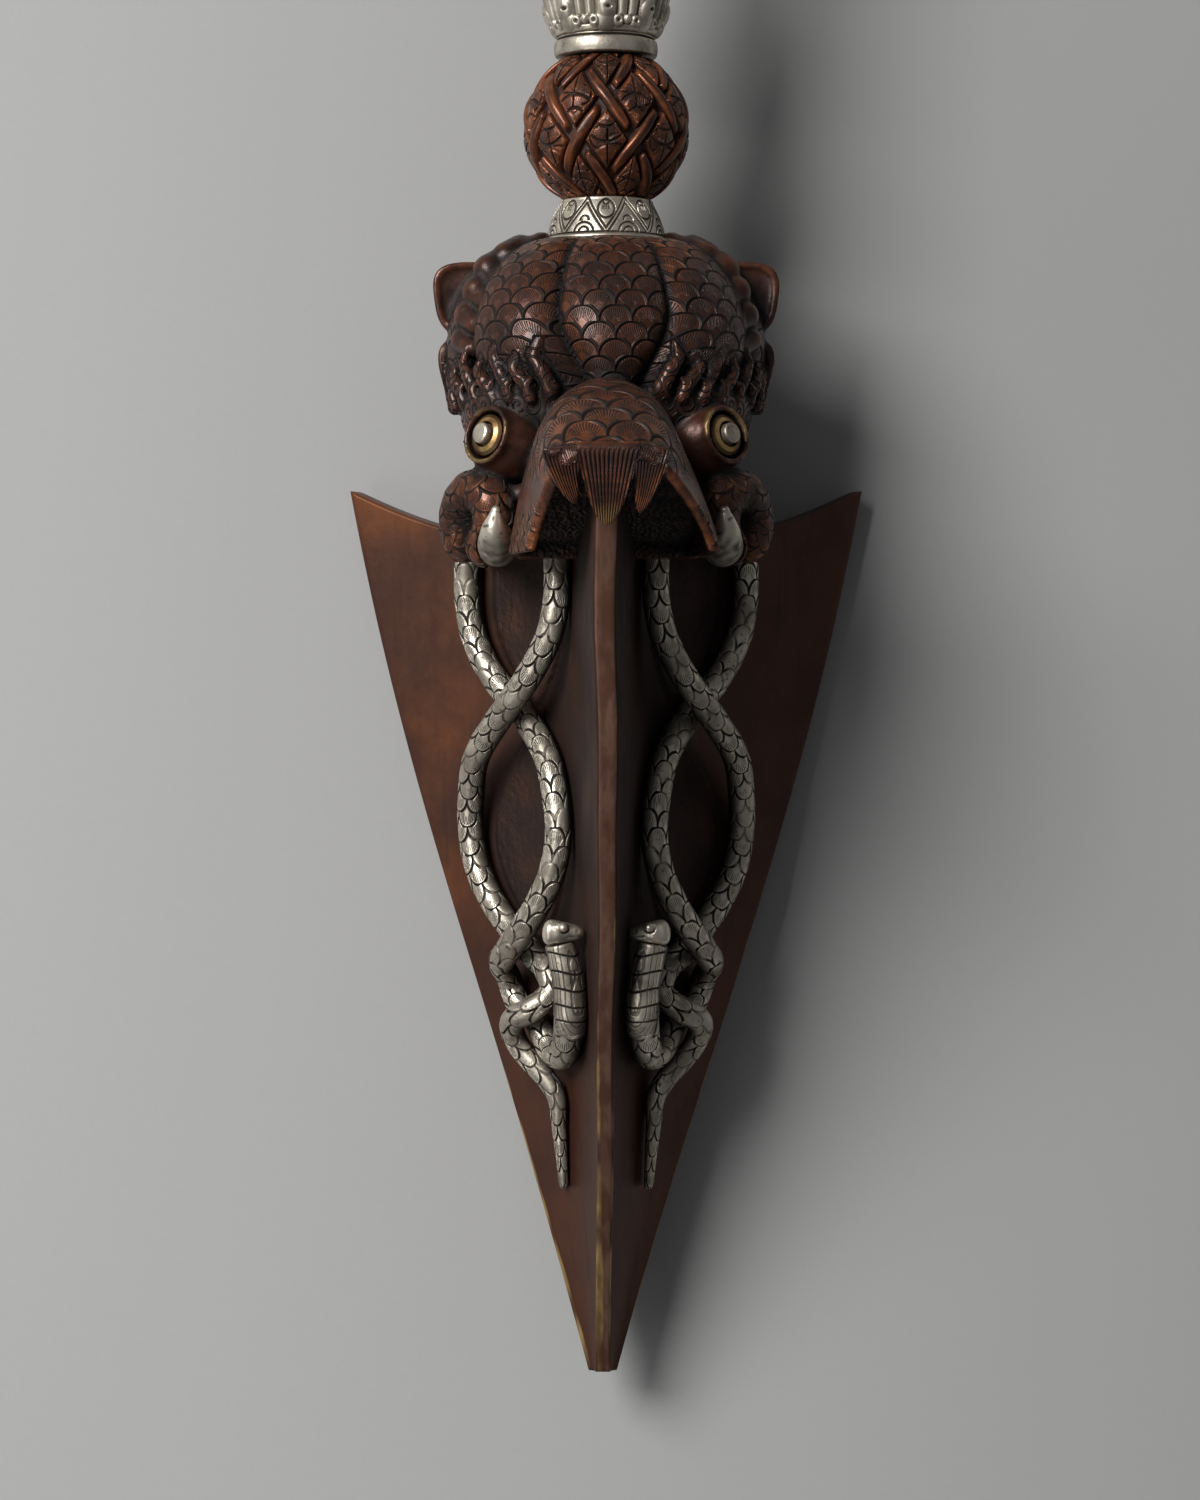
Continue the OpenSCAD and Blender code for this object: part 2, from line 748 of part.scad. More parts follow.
function knot_at(i, j) = let (near = min(off_strand(i + j), off_strand(i - j)))
    knot_r - (near == 0 ? 0 : near == 1 ? 2 * strand_rise : strand_rise - lozenge_rise * near);

module knot(z) {
    half = knot_h / 2;
    end_a = asin(min(0.95, half / knot_r));
    translate([0, 0, z + half]) difference() {
        skin([for (j = [0:knot_rings]) let (e = end_a * (2 * j / knot_rings - 1))
            [for (i = [0:knot_sides - 1]) let (a = 360 * i / knot_sides, r = knot_at(i, j) * cos(e))
                [r * cos(a), r * sin(a), half * sin(e) / sin(end_a)]]]);
        rod_bore(-half, knot_h);
    }
}

module lower_knot() color(copper) knot(z_knot);
module upper_knot() color(copper) knot(z_upper_collar - knot_h);

// Neck ring with a groove above its rounded band
module neck_ring() {
    rotate_extrude() polygon(concat(
        [[rod_hole, 0], [ring_r - 0.4, 0]],
        arc(ring_r - 0.4, ring_h * 0.4, 0.4, ring_h * 0.4, -90, 90, 6),
        [[ring_r - 0.8, ring_h * 0.8], [ring_r - 0.8, ring_h], [rod_hole, ring_h]]));
}

module lower_neck_ring() color(silver) translate([0, 0, z_ring]) neck_ring();
module upper_neck_ring() color(silver)
    translate([0, 0, 2 * z_mid - z_ring]) mirror([0, 0, 1]) neck_ring();

// Lotus cup: a flaring bowl with grooves between its petals and a notched rim
cup_foot = 8;
cup_wall = 2;
cup_deep = 3;

module lotus_cup() {
    difference() {
        rotate_extrude() polygon(concat(
            [[rod_hole, 0], [cup_foot, 0]],
            [for (i = [1:8]) let (t = i / 8) [cup_foot + (cup_r - cup_foot) * pow(t, 0.8), cup_h * 0.75 * t]],
            [[cup_r, cup_h * 0.75 + 0.5], [cup_r - 0.6, cup_h], [cup_r - cup_wall, cup_h],
             [grip_foot + seat_gap, cup_h - cup_deep], [rod_hole, cup_h - cup_deep]]));
        for (i = [0:petals - 1]) rotate([0, 0, 360 * (i + 0.5) / petals]) {
            translate([cup_foot + 0.9, 0, 2.5]) rotate([0, cup_lean, 0])
                cylinder(r = 0.7, h = cup_h + 2, $fn = 16);
            translate([cup_r - 1, 0, cup_h + 0.6]) rotate([0, 90, 0])
                cylinder(r = 1.5, h = 8, center = true, $fn = 24);
        }
    }
}

cup_lean = atan((cup_r - cup_foot) / cup_h);
grip_foot = 9;

module lower_lotus_cup() color(silver) translate([0, 0, z_cup]) lotus_cup();
module upper_lotus_cup() color(silver)
    translate([0, 0, 2 * z_mid - z_cup]) mirror([0, 0, 1]) lotus_cup();

// Waisted grip half with flutes
module grip_half() {
    difference() {
        rotate_extrude() polygon(concat(
            [[rod_hole, 0], [grip_foot, 0], [grip_foot, 1.5]],
            arc(grip_foot, grip_h / 2 + 0.75, grip_foot - grip_r, grip_h / 2 - 0.75, 270, 90, 12),
            [[grip_foot, grip_h], [rod_hole, grip_h]]));
        for (i = [0:grip_flutes - 1]) rotate([0, 0, 360 * i / grip_flutes])
            translate([grip_r + 0.5, 0, 2.5]) cylinder(r = 0.9, h = grip_h - 4, $fn = 20);
    }
}

module lower_grip() color(silver) translate([0, 0, z_grip]) grip_half();
module upper_grip() color(silver) translate([0, 0, 2 * z_mid - z_grip]) mirror([0, 0, 1]) grip_half();

// Middle band with a rounded bead between two fillets
module grip_band() color(copper) {
    turned_ring(z_band, concat(
        [[rod_hole, 0], [band_r - 0.8, 0], [band_r - 0.8, 1]],
        arc(band_r - 1.2, band_h / 2, 1.2, band_h / 2 - 1, -90, 90, 10),
        [[band_r - 0.8, band_h - 1], [band_r - 0.8, band_h], [rod_hole, band_h]]));
}

// Lotus foot of the finial
module finial_base() color(silver) {
    difference() {
        turned_ring(z_base, concat(
            [[rod_hole, 0], [collar_r, 0]],
            arc(collar_r, base_h * 0.45, base_r - collar_r, base_h * 0.45, -90, 0, 8),
            arc(base_r - 2.5, base_h * 0.45, 2.5, base_h * 0.55, 0, 90, 8),
            [[rod_hole, base_h]]));
        for (i = [0:petals - 1]) rotate([0, 0, 360 * i / petals])
            translate([base_r + 0.2, 0, z_base + 1.2]) cylinder(r = 0.6, h = base_h, $fn = 16);
    }
}

// Four prongs that bow out from the hub and close on the middle spire
prongs = 4;
hub_r = 5.2;
spire_r = 2.4;
prong_sides = 6;
prong_steps = 2;

function prong_axis() = [
    [hub_r - 0.6, 0, 0, prong_w * 0.5],
    [prong_out - 1, 0, prong_h * 0.16, prong_w * 0.56],
    [prong_out, 0, prong_h * 0.42, prong_w * 0.5],
    [prong_out * 0.74, 0, prong_h * 0.68, prong_w * 0.42],
    [spire_r + prong_w * 0.34 + 0.2, 0, prong_h - 6.5, prong_w * 0.32]];

module side_prongs() color(silver) {
    for (i = [0:prongs - 1]) rotate([0, 0, 45 + 360 * i / prongs])
        translate([0, 0, z_prongs + prong_w * 0.5 + seat_gap])
            skin(tube_rings(smooth_path(prong_axis(), prong_steps), prong_sides, [0, -1, 0]));
}

module centre_prong() color(silver) {
    difference() {
        turned_ring(z_prongs, concat(
            [[0, 0], [spire_r + 0.3, 0], [spire_r + 0.3, 4], [spire_r, 5]],
            [[spire_r, prong_h - 4], [spire_r + 1.6, prong_h + prong_w * 0.5 + 1]],
            [[spire_r + 1.2, prong_h + prong_w * 0.5 + 2.2], [0, prong_h + prong_w * 0.5 + point_h]]));
        translate([0, 0, z_prongs - cut_over]) cylinder(r = rod_hole, h = 4 + cut_over);
    }
}

core_rod();
blade();
makara_head();
left_eyeball();
right_eyeball();
left_pupil();
right_pupil();
left_tusk();
right_tusk();
left_head_serpent();
left_tail_serpent();
right_head_serpent();
right_tail_serpent();
rear_head_serpent();
rear_tail_serpent();
lower_collar();
lower_knot();
lower_neck_ring();
lower_lotus_cup();
lower_grip();
grip_band();
upper_grip();
upper_lotus_cup();
upper_neck_ring();
upper_knot();
upper_collar();
finial_base();
side_prongs();
centre_prong();
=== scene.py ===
"""Ritual dagger: a three-finned copper blade below a sea monster's head, with serpents and a knotted handle.

Shapes are worked out in millimetres, and become metres when a mesh is made.
"""
import json
import math
from types import SimpleNamespace

import bpy
import numpy as np
import openvdb
from bpy.props import FloatProperty, FloatVectorProperty, IntProperty, PointerProperty
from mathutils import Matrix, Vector, noise


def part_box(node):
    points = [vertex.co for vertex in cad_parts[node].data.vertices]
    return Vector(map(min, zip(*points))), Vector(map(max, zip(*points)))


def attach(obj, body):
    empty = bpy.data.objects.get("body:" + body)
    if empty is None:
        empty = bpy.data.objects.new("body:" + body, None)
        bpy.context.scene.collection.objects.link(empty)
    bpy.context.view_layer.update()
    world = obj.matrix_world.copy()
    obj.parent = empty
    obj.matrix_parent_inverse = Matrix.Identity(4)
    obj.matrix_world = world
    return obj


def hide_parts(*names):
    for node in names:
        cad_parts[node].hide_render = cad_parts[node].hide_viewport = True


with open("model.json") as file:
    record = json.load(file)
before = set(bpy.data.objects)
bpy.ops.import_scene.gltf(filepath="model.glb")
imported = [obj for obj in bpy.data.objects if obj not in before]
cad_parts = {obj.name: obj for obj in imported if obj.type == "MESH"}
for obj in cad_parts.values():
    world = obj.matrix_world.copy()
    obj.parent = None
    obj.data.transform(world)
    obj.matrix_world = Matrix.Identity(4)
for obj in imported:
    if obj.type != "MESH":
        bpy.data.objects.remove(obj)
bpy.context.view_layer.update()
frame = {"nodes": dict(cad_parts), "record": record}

bl_info = {
    "name": "Ritual dagger",
    "version": (1, 0, 0),
    "blender": (4, 5, 0),
    "location": "3D View > Sidebar > Dagger",
    "description": "A three-finned dagger with a sea monster's head, serpents and a knotted handle",
    "category": "Add Mesh",
}


# Sizes

def low_z(node):
    """Height of a node's lower end."""
    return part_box(node)[0][2]


def high_z(node):
    """Height of a node's upper end."""
    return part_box(node)[1][2]


def size(name, default, text):
    """A length that a user can change."""
    return FloatProperty(name=name, description=text, default=default, min=0.0, unit="LENGTH", precision=5)


def share(name, default, text):
    """A plain number that a user can change."""
    return FloatProperty(name=name, description=text, default=default)


def amount(name, default, low, high, text):
    """A whole number that a user can change."""
    return IntProperty(name=name, description=text, default=default, min=low, max=high)


def bearing(name, degrees, text):
    """An angle that a user can change."""
    return FloatProperty(name=name, description=text, default=math.radians(degrees), subtype="ANGLE")


def tint(name, default, text):
    """A colour that a user can change."""
    return FloatVectorProperty(
        name=name, description=text, default=default, size=3, subtype="COLOR", min=0, max=1)


class BladeSizes(bpy.types.PropertyGroup):
    """Sizes of the three-finned blade."""
    reach: size("Reach", -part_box("blade")[0][1], "Distance from the axis to a fin's upper corner")
    height: size("Height", 0.142, "Height of the fins' upper corners above the tip")
    tip: size("Tip", 0.0020, "Distance from the axis to a fin's edge at the tip")
    edge: size("Edge", 0.004, "Width of a fin's flat edge at its upper corner")
    edge_low: size("Lower edge", 0.0022, "Width of a fin's flat edge at the tip")
    core: size("Core", 0.0104, "Distance from the axis to the middle of a face, in the upper half")
    core_full: size("Core height", 0.084, "Height at which the faces reach that distance")
    shoulder: size("Shoulder", 0.133, "Height of the shoulder where it leaves the middle")
    shoulder_start: size("Shoulder start", 0.0124, "Distance from the axis where the shoulder rises")
    belly: share("Belly", 0.09, "How far a fin's outline bows out, as a share")
    sweep: share("Sweep", 1.8, "How strongly the shoulder sweeps up to the corner")
    tang: size("Tang", 0.006, "Radius of the tang that enters the head")
    tang_top: size("Tang top", high_z("blade"), "Height of the tang's top")


class SerpentSizes(bpy.types.PropertyGroup):
    """Sizes of the entwined serpents."""
    body: size("Body", 0.0021, "Radius of a serpent's body")
    neck: size("Neck", 0.0025, "Radius of the raised neck")
    start: size("Start", high_z("left_tail_serpent"), "Height at which the serpents leave the mouth")
    cross_1: size("First crossing", 0.1045, "Height of the first crossing")
    cross_2: size("Second crossing", 0.067, "Height of the second crossing")
    cross_3: size("Third crossing", 0.056, "Height of the third crossing")
    loop: size("Loop", 0.0125, "Half the width of the two upper loops")
    low_loop: size("Low loop", 0.0057, "Half the width of the lowest loop")
    shift: size("Shift", 0.0035, "How far a front braid stands off its face's middle")
    tail_end: size("Tail end", low_z("left_tail_serpent"), "Height of the tail's point")
    tail: size("Tail", 0.0007, "Radius of the tail at its point")
    neck_top: size("Neck top", 0.069, "Height of the neck's top")
    neck_off: size("Neck offset", 0.0148, "How far the neck stands beside the braid")
    head_lift: size("Head lift", 0.0012, "How far the head stands off the blade")
    gap: size("Gap", 0.0002, "Clearance between a serpent and the blade")
    scales: amount("Scales", 4, 3, 8, "Scales round a serpent's body")


class HeadSizes(bpy.types.PropertyGroup):
    """Sizes of the sea monster's head."""
    foot: size("Underside", 0.1295, "Height of the head's underside")
    top: size("Top", low_z("lower_collar"), "Height of the head's flat top")
    skull: size("Skull", 0.0255, "Largest radius of the skull")
    skull_mid: size("Skull height", 0.163, "Height of the skull's largest radius")
    waist: size("Waist", 0.018, "Radius of the waist at the eyes")
    waist_mid: size("Waist height", 0.146, "Height of the waist")
    collar: size("Neck opening", 0.0105, "Radius of the skull's flat top")
    snout: size("Snout", -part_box("makara_head")[0][1], "Distance from the axis to the snout's front")
    snout_wide: size("Snout width", 0.0138, "Half the snout's width at its root")
    snout_top: size("Snout ridge", 0.1563, "Height of the snout's ridge")
    snout_edge: size("Snout edge", 0.144, "Height of the snout's upper front edge")
    fringe: size("Fringe", 0.1326, "Height of the middle fringe flap's point")
    voxel: size("Voxel", 0.00042, "Fineness of the modelling clay")
    groove: share("Lobe groove", 0.13, "Depth of the grooves between lobes, as a share of the radius")
    lobes: amount("Lobes", 8, 4, 12, "Lobes round the skull")


class EyeSizes(bpy.types.PropertyGroup):
    """Sizes of the eyes and tusks."""
    turn: bearing("Turn", 44, "Angle of an eye from straight ahead")
    tilt: bearing("Tilt", 12, "Upward tilt of an eye")
    root: size("Root", 0.1425, "Height at which an eye's line meets the axis")
    out: size("Out", 0.028, "Distance from the axis to the rim's face")
    rim: size("Rim", 0.0048, "Radius of the copper rim")
    ball: size("Ball", 0.0033, "Radius of the brass ball")
    pupil: size("Pupil", 0.0017, "Radius of the silver pupil")
    tusk: size("Tusk", 0.0031, "Radius of a tusk at its root")
    tusk_long: size("Tusk height", 0.0065, "Height of a tusk's point above its root")
    tusk_out: size("Tusk offset", 0.017, "Distance of a tusk from the middle")


class HandleSizes(bpy.types.PropertyGroup):
    """Sizes of the handle's turned and knotted pieces."""
    collar: size("Collar", 0.0097, "Radius of a collar's wide edge")
    collar_top: size("Collar top", 0.0073, "Radius of a collar's narrow edge")
    knot: size("Knot", 0.0132, "Largest radius of a knot")
    strand: size("Strand", 0.0019, "Width of a knot's strands")
    ring: size("Ring", 0.0083, "Radius of a neck ring")
    cup: size("Cup", 0.0116, "Largest radius of a lotus cup")
    cup_foot: size("Cup foot", 0.008, "Radius of a lotus cup's foot")
    grip: size("Grip", 0.0074, "Radius of the waisted grip at its middle")
    grip_foot: size("Grip foot", 0.009, "Radius of the grip's ends")
    band: size("Band", 0.0096, "Radius of the middle band")
    base: size("Base", 0.0105, "Largest radius of the finial's base")
    bore: size("Bore", 0.00265, "Radius of the bore for the rod")
    hub: size("Hub", 0.0052, "Radius of the hub that the prongs rise from")
    spire: size("Spire", 0.0024, "Radius of the middle prong's shaft")
    prong_out: size("Prong reach", 0.011, "How far the prongs bow out")
    prongs: amount("Prongs", 4, 2, 8, "Curved prongs of the finial")
    foot_petals: amount("Foot petals", 14, 6, 24, "Lotus petals round the finial's foot")
    strands: amount("Strands", 8, 4, 12, "Strands each way round a knot")
    petals: amount("Rods", 32, 6, 48, "Upright rods round a lotus cup")
    sepals: amount("Sepals", 8, 4, 12, "Scrolled sepals round a lotus cup")


class Finishes(bpy.types.PropertyGroup):
    """Colours of the metals and of the board behind the dagger."""
    copper: tint("Copper", (0.078, 0.026, 0.014), "Red-brown patina on the head and knots")
    copper_dark: tint("Dark copper", (0.026, 0.0125, 0.010), "Darkest patina")
    copper_worn: tint("Worn copper", (0.21, 0.066, 0.024), "Copper that hands have rubbed")
    blade: tint("Blade", (0.084, 0.031, 0.017), "Smooth patina on the blade")
    # Partly wear, partly painted sheen: the flat fin edges' paler colour also stands in for the light's sheen
    # on them.
    blade_rubbed_and_sheen: tint("Rubbed blade", (0.20, 0.105, 0.072), "Paler brown on the fins' flat edges")
    # Painted light: the orange glow painted on the blade's left side, where the key lamp falls.
    blade_painted_glow: tint("Blade glow", (0.21, 0.066, 0.016), "Orange tint towards the fins' edges")
    brass: tint("Brass", (0.50, 0.33, 0.13), "Brass where it is rubbed bright")
    silver: tint("Silver", (0.66, 0.595, 0.49), "Silver where it is rubbed bright")
    silver_dull: tint("Dull silver", (0.27, 0.235, 0.19), "Tarnished silver")
    # Near black for cuts and dirt, also used for the painted shade beside the front fin's root and on the
    # serpents' sides.
    near_black: tint("Soot", (0.010, 0.008, 0.007), "Black in the cuts and corners")
    board: tint("Board", (0.36, 0.36, 0.355), "Grey board behind the dagger")


def mm(name):
    """The values of a group of sizes as plain numbers, with lengths in millimetres.

    Below, b, s, h and e are those of the blade, the serpents or the handle, the head and the eyes.
    """
    group = getattr(bpy.context.scene, "dagger_" + name)
    values = {}
    for key, prop in group.bl_rna.properties.items():
        if key not in ("rna_type", "name"):
            value = getattr(group, key)
            values[key] = value * 1000 if prop.unit == "LENGTH" else value
    return SimpleNamespace(**values)


def span(node):
    """Heights of a node's lower and upper ends, in millimetres."""
    return low_z(node) * 1000, high_z(node) * 1000


def handle_middle():
    """Height of the middle of the handle, at which its upper pieces mirror its lower ones."""
    return (low_z("grip_band") + high_z("grip_band")) * 500


# Node trees written as expressions

class Wire:
    """One output of a node. Arithmetic on it adds Math nodes."""

    def __init__(self, tree, socket):
        self.tree = tree
        self.socket = socket

    def math(self, operation, *rest):
        return self.tree.math(operation, self, *rest)

    def __add__(self, other):
        return self.math("ADD", other)

    def __sub__(self, other):
        return self.math("SUBTRACT", other)

    def __mul__(self, other):
        return self.math("MULTIPLY", other)

    def __truediv__(self, other):
        return self.math("DIVIDE", other)

    def __rsub__(self, other):
        return self.tree.math("SUBTRACT", other, self)

    def __rtruediv__(self, other):
        return self.tree.math("DIVIDE", other, self)

    __radd__ = __add__
    __rmul__ = __mul__


class Tree:
    """A shader or geometry node tree that is written in expressions."""

    def __init__(self, tree):
        self.tree = tree
        tree.nodes.clear()

    def node(self, kind, settings=None, sockets=None, out=0):
        """Adds a node: its settings first, then the values or links of its sockets."""
        made = self.tree.nodes.new(kind)
        for key, value in (settings or {}).items():
            setattr(made, key, value)
        for key, value in (sockets or {}).items():
            if isinstance(value, Wire):
                self.tree.links.new(value.socket, made.inputs[key])
            else:
                made.inputs[key].default_value = value
        return Wire(self, made.outputs[out]) if len(made.outputs) else made

    def math(self, operation, *values):
        return self.node("ShaderNodeMath", {"operation": operation}, dict(enumerate(values)))

    def vector(self, operation, *values, out=0):
        return self.node("ShaderNodeVectorMath", {"operation": operation}, dict(enumerate(values)), out)

    def scaled(self, vector, factor):
        return self.node("ShaderNodeVectorMath", {"operation": "SCALE"}, {0: vector, 3: factor})

    def mix(self, factor, first, second):
        """Colour between first and second."""
        return self.node("ShaderNodeMix", {"data_type": "RGBA"},
                         {0: factor, 6: colour(first), 7: colour(second)}, out=2)

    def attribute(self, name, out="Fac"):
        return self.node("ShaderNodeAttribute", {"attribute_name": name}, out=out)

    def split(self, vector):
        made = self.node("ShaderNodeSeparateXYZ", None, {0: vector}).socket.node
        return [Wire(self, output) for output in made.outputs]

    def noise(self, place, scale, detail=3.0, rough=0.55):
        return self.node("ShaderNodeTexNoise", None,
                         {"Vector": place, "Scale": scale, "Detail": detail, "Roughness": rough})


def colour(value):
    """A colour with its alpha, or a wire as it is."""
    return value if isinstance(value, Wire) else (*value[:3], 1.0)


# Functions that take numbers, arrays or wires alike

def either(operation, plain):
    """A function that adds a Math node to a wire, and works on numbers and arrays as they are."""
    def work(first, *rest):
        return first.math(operation, *rest) if isinstance(first, Wire) else plain(first, *rest)
    return work


floor = either("FLOOR", np.floor)
root = either("SQRT", np.sqrt)
size_of = either("ABSOLUTE", np.abs)
sine = either("SINE", np.sin)
smaller = either("MINIMUM", np.minimum)
larger = either("MAXIMUM", np.maximum)
turn_of = either("ARCTAN2", np.arctan2)


def most(first, *rest):
    """The largest of several values."""
    for value in rest:
        first = larger(first, value)
    return first


def ramp(x, low, high):
    """0 below low, 1 above high and smooth between them; low may be the larger."""
    t = (x - low) * (1.0 / (high - low))
    t = larger(smaller(t, 1.0), 0.0)
    return t * t * (3.0 - 2.0 * t)


def held(values):
    """Values held between 0 and 1."""
    return np.clip(values, 0, 1)


def line(distance, width):
    """1 on a line of that width, 0 away from it."""
    return 1.0 - ramp(size_of(distance), width * 0.35, width)


def near_whole(x):
    """Signed distance to the nearest whole number."""
    return x - floor(x + 0.5)


ROW = 0.5  # height of a row of scales, as a share of a scale's width


def fish_scales(u, v):
    """Overlapping scales, one wide in u and one row high in v, whose free edges point up v.

    Returns x and y from the scale's centre, the distance from the nearest rim, 1 on a scale's upper part,
    and the scales' height, from 0 to 1, with a step down at each rim.
    """
    row = floor(v)
    x = near_whole(u - row * 0.5)
    y = (v - row) * ROW
    rim = root(x * x + y * y) - 0.5
    upper = ramp(rim, 0.02, -0.02)
    return x, y, rim, upper, (y + upper * ROW) * (1.0 - 1.2 * x * x * upper)


# Meshes

def to_mesh(name, points, faces, material, marks=None):
    """A piece from points in millimetres. marks are attributes, one row a point."""
    mesh = bpy.data.meshes.new(name)
    points = np.asarray(points, dtype=np.float64) * 0.001
    mesh.from_pydata(points.tolist(), [], faces if isinstance(faces, list) else faces.tolist())
    for key, values in (marks or {}).items():
        values = np.ascontiguousarray(values, dtype=np.float32)
        kind, slot = ("FLOAT", "value") if values.ndim == 1 else ("FLOAT_VECTOR", "vector")
        mesh.attributes.new(key, kind, "POINT").data.foreach_set(slot, values.ravel())
    mesh.materials.append(material)
    mesh.shade_smooth()
    mesh.update()
    piece = bpy.data.objects.new(name, mesh)
    bpy.context.scene.collection.objects.link(piece)
    return piece


def settle(piece, node):
    """The piece rides on the one body and stands for a node."""
    piece.name = "fine_" + node
    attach(piece, "root")
    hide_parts(node)


METALS = {"copper": "aged_copper", "blade_copper": "brown_patina", "silver": "aged_silver",
          "brass": "rubbed_brass", "iron": "plain_iron"}


def make_piece(node, slot, points, faces, marks=None):
    """A finished piece in its slot's metal, in place of a node."""
    settle(to_mesh(node, points, faces, material(METALS[slot]), marks), node)


def ring_faces(rows, columns):
    """Quads between rows of points that go round."""
    i = np.arange(columns)
    k = (i + 1) % columns
    j = np.arange(rows - 1)[:, None] * columns
    return np.stack([j + i, j + k, j + columns + k, j + columns + i], axis=-1).reshape(-1, 4)


def columns_of(*values):
    """Values side by side, one column each."""
    return np.stack(np.broadcast_arrays(*values), axis=-1)


def wander(points, size):
    """Smooth noise from -1 to 1 at each point, with features of that size."""
    return np.array([noise.noise(Vector(p) / size) for p in points])


def turned(angle, r, t):
    """A point r along a direction and t across it, turned by the angle."""
    return r * np.cos(angle) - t * np.sin(angle), r * np.sin(angle) + t * np.cos(angle)


def facing(angle, x, y):
    """How far a point lies along a direction, and how far across it."""
    return x * math.cos(angle) + y * math.sin(angle), -x * math.sin(angle) + y * math.cos(angle)


# The blade's shape

FINS = 3
FRONT = -math.pi / 2
SIXTH = math.pi / 3


def fin_at(b, z):
    """Distance from the axis to a fin's edge."""
    u = held(z / b.height)
    return b.tip + (b.reach - b.tip) * u * (1 + b.belly * np.sin(math.pi * u ** 1.15))


def edge_at(b, z):
    """Width of a fin's flat edge."""
    return b.edge_low + (b.edge - b.edge_low) * (larger(z, 0) / b.height) ** 1.5


def core_at(b, z):
    """Distance from the axis to the middle of a face."""
    low = b.edge_low / math.sqrt(3) + 0.35
    u = held(z / b.core_full)
    return low + (b.core - low) * u * (1 + 0.18 * np.sin(math.pi * u))


def face_end(b, z):
    """Half the width of a face."""
    return fin_at(b, z) * math.sin(SIXTH) - edge_at(b, z) * math.cos(SIXTH) / 2


def face_at(b, u, z):
    """Distance from the axis to a face, square to it, at u along it."""
    half = edge_at(b, z) / math.sqrt(3)
    c = core_at(b, z) - half
    s = np.clip(u / face_end(b, z), -1, 1)
    return half + np.sqrt(u * u / 3 + c * c * (1 - s * s))


def shoulder_at(b, r):
    """Height of the shoulder at distance r along a fin."""
    rise = larger(0, (r - b.shoulder_start) / (b.reach - b.shoulder_start))
    return b.shoulder + (b.height - b.shoulder) * rise ** b.sweep


# The serpents' paths, in a face's own frame: u along the face, n square to it, then z and radius

def on_face(b, s, u, z, r, lift=0.0):
    """A point of a run of radius r that lies on a face, or stands lift above it."""
    slope = face_at(b, u + 0.5, z) - face_at(b, u - 0.5, z)
    return [u, face_at(b, u, z) + (r + s.gap) * math.sqrt(1 + slope * slope) + lift, z, r]


def braid(b, s, side, shift):
    """The stretch where both strands cross; side is 1 for the strand that starts next to the front fin."""
    first = s.cross_1 + (s.cross_1 - s.cross_2) / 2
    path = [on_face(b, s, shift - side * s.loop, s.start, s.body)]
    for phase in range(0, 451, 30):
        p = math.radians(phase)
        z = np.interp(phase, [0, 90, 270, 450], [first, s.cross_1, s.cross_2, s.cross_3])
        wave = math.copysign(abs(math.cos(p)) ** 0.8, math.cos(p)) if phase % 180 != 90 else 0.0
        wide = s.loop if phase < 270 else s.low_loop
        over = max(0.0, side * math.sin(p)) ** 2
        radius = s.body * (0.93 if phase > 270 else 1)
        path.append(on_face(b, s, shift - side * wide * wave, z, radius, (2 * s.body + s.gap) * over))
    return path


def tail_path(b, s, shift):
    z = s.cross_3
    return braid(b, s, 1, shift) + [
        on_face(b, s, shift + 1.4, z - 4, s.body * 0.85, 2.8),
        on_face(b, s, shift - 2.6, z - 11, s.body * 0.75),
        on_face(b, s, shift - 2.2, (z + s.tail_end) / 2 - 4, s.body * 0.55),
        on_face(b, s, shift - 1, s.tail_end, s.tail)]


def neck_path(b, s, shift):
    z = s.cross_3
    u = shift - s.neck_off
    return braid(b, s, -1, shift) + [
        on_face(b, s, shift - 4, z - 4.4, s.body),
        on_face(b, s, shift - 9, z - 4.5, s.body * 1.05),
        on_face(b, s, u + 0.5, z + 1, s.neck),
        on_face(b, s, u, (z + s.neck_top) / 2 + 1, s.neck),
        on_face(b, s, u, s.neck_top, s.neck * 0.92, s.head_lift)]


def smooth_path(points, steps):
    """A smooth curve through the points, with steps to a span."""
    p = np.array(points)
    t = (np.arange(steps) / steps)[:, None]
    spans = []
    for i in range(len(p) - 1):
        a, b, c, d = p[max(i - 1, 0)], p[i], p[i + 1], p[min(i + 2, len(p) - 1)]
        spans.append(0.5 * (2 * b + (c - a) * t + (2 * a - 5 * b + 4 * c - d) * t ** 2
                            + (3 * b - a - 3 * c + d) * t ** 3))
    return np.concatenate(spans + [p[-1:]])


def to_space(path, angle):
    """Points of a face's frame, as x, y, z and radius."""
    x, y = turned(angle, path[:, 1], path[:, 0])
    return np.stack([x, y, path[:, 2], path[:, 3]], axis=1)


# Metals

def new_material(name):
    made = bpy.data.materials.new(name)
    made.use_nodes = True
    return made, Tree(made.node_tree)


def places(tree):
    """Object coordinates."""
    return tree.node("ShaderNodeTexCoord", out="Object")


def scale_marks(tree, pattern, cover, strokes):
    """Black rims and fine fanned cuts on scales, and their height."""
    u, v, _ = tree.split(pattern)
    x, y, rim, upper, rise = fish_scales(u, v)
    wobble = tree.noise(tree.node("ShaderNodeCombineXYZ", None, {0: u, 1: v}), 2.3) - 0.5
    rims = line(rim - 0.012 + wobble * 0.05, 0.072)
    fan = turn_of(x + wobble * 0.04, y + 0.42)
    cuts = line(sine(fan * strokes) + wobble * 1.5, 0.75)
    zone = upper * ramp(rim, -0.42, -0.3) * ramp(rim, -0.07, -0.13) * ramp(size_of(fan), 0.62, 0.4)
    return rims * cover, cuts * zone * cover, rise * cover


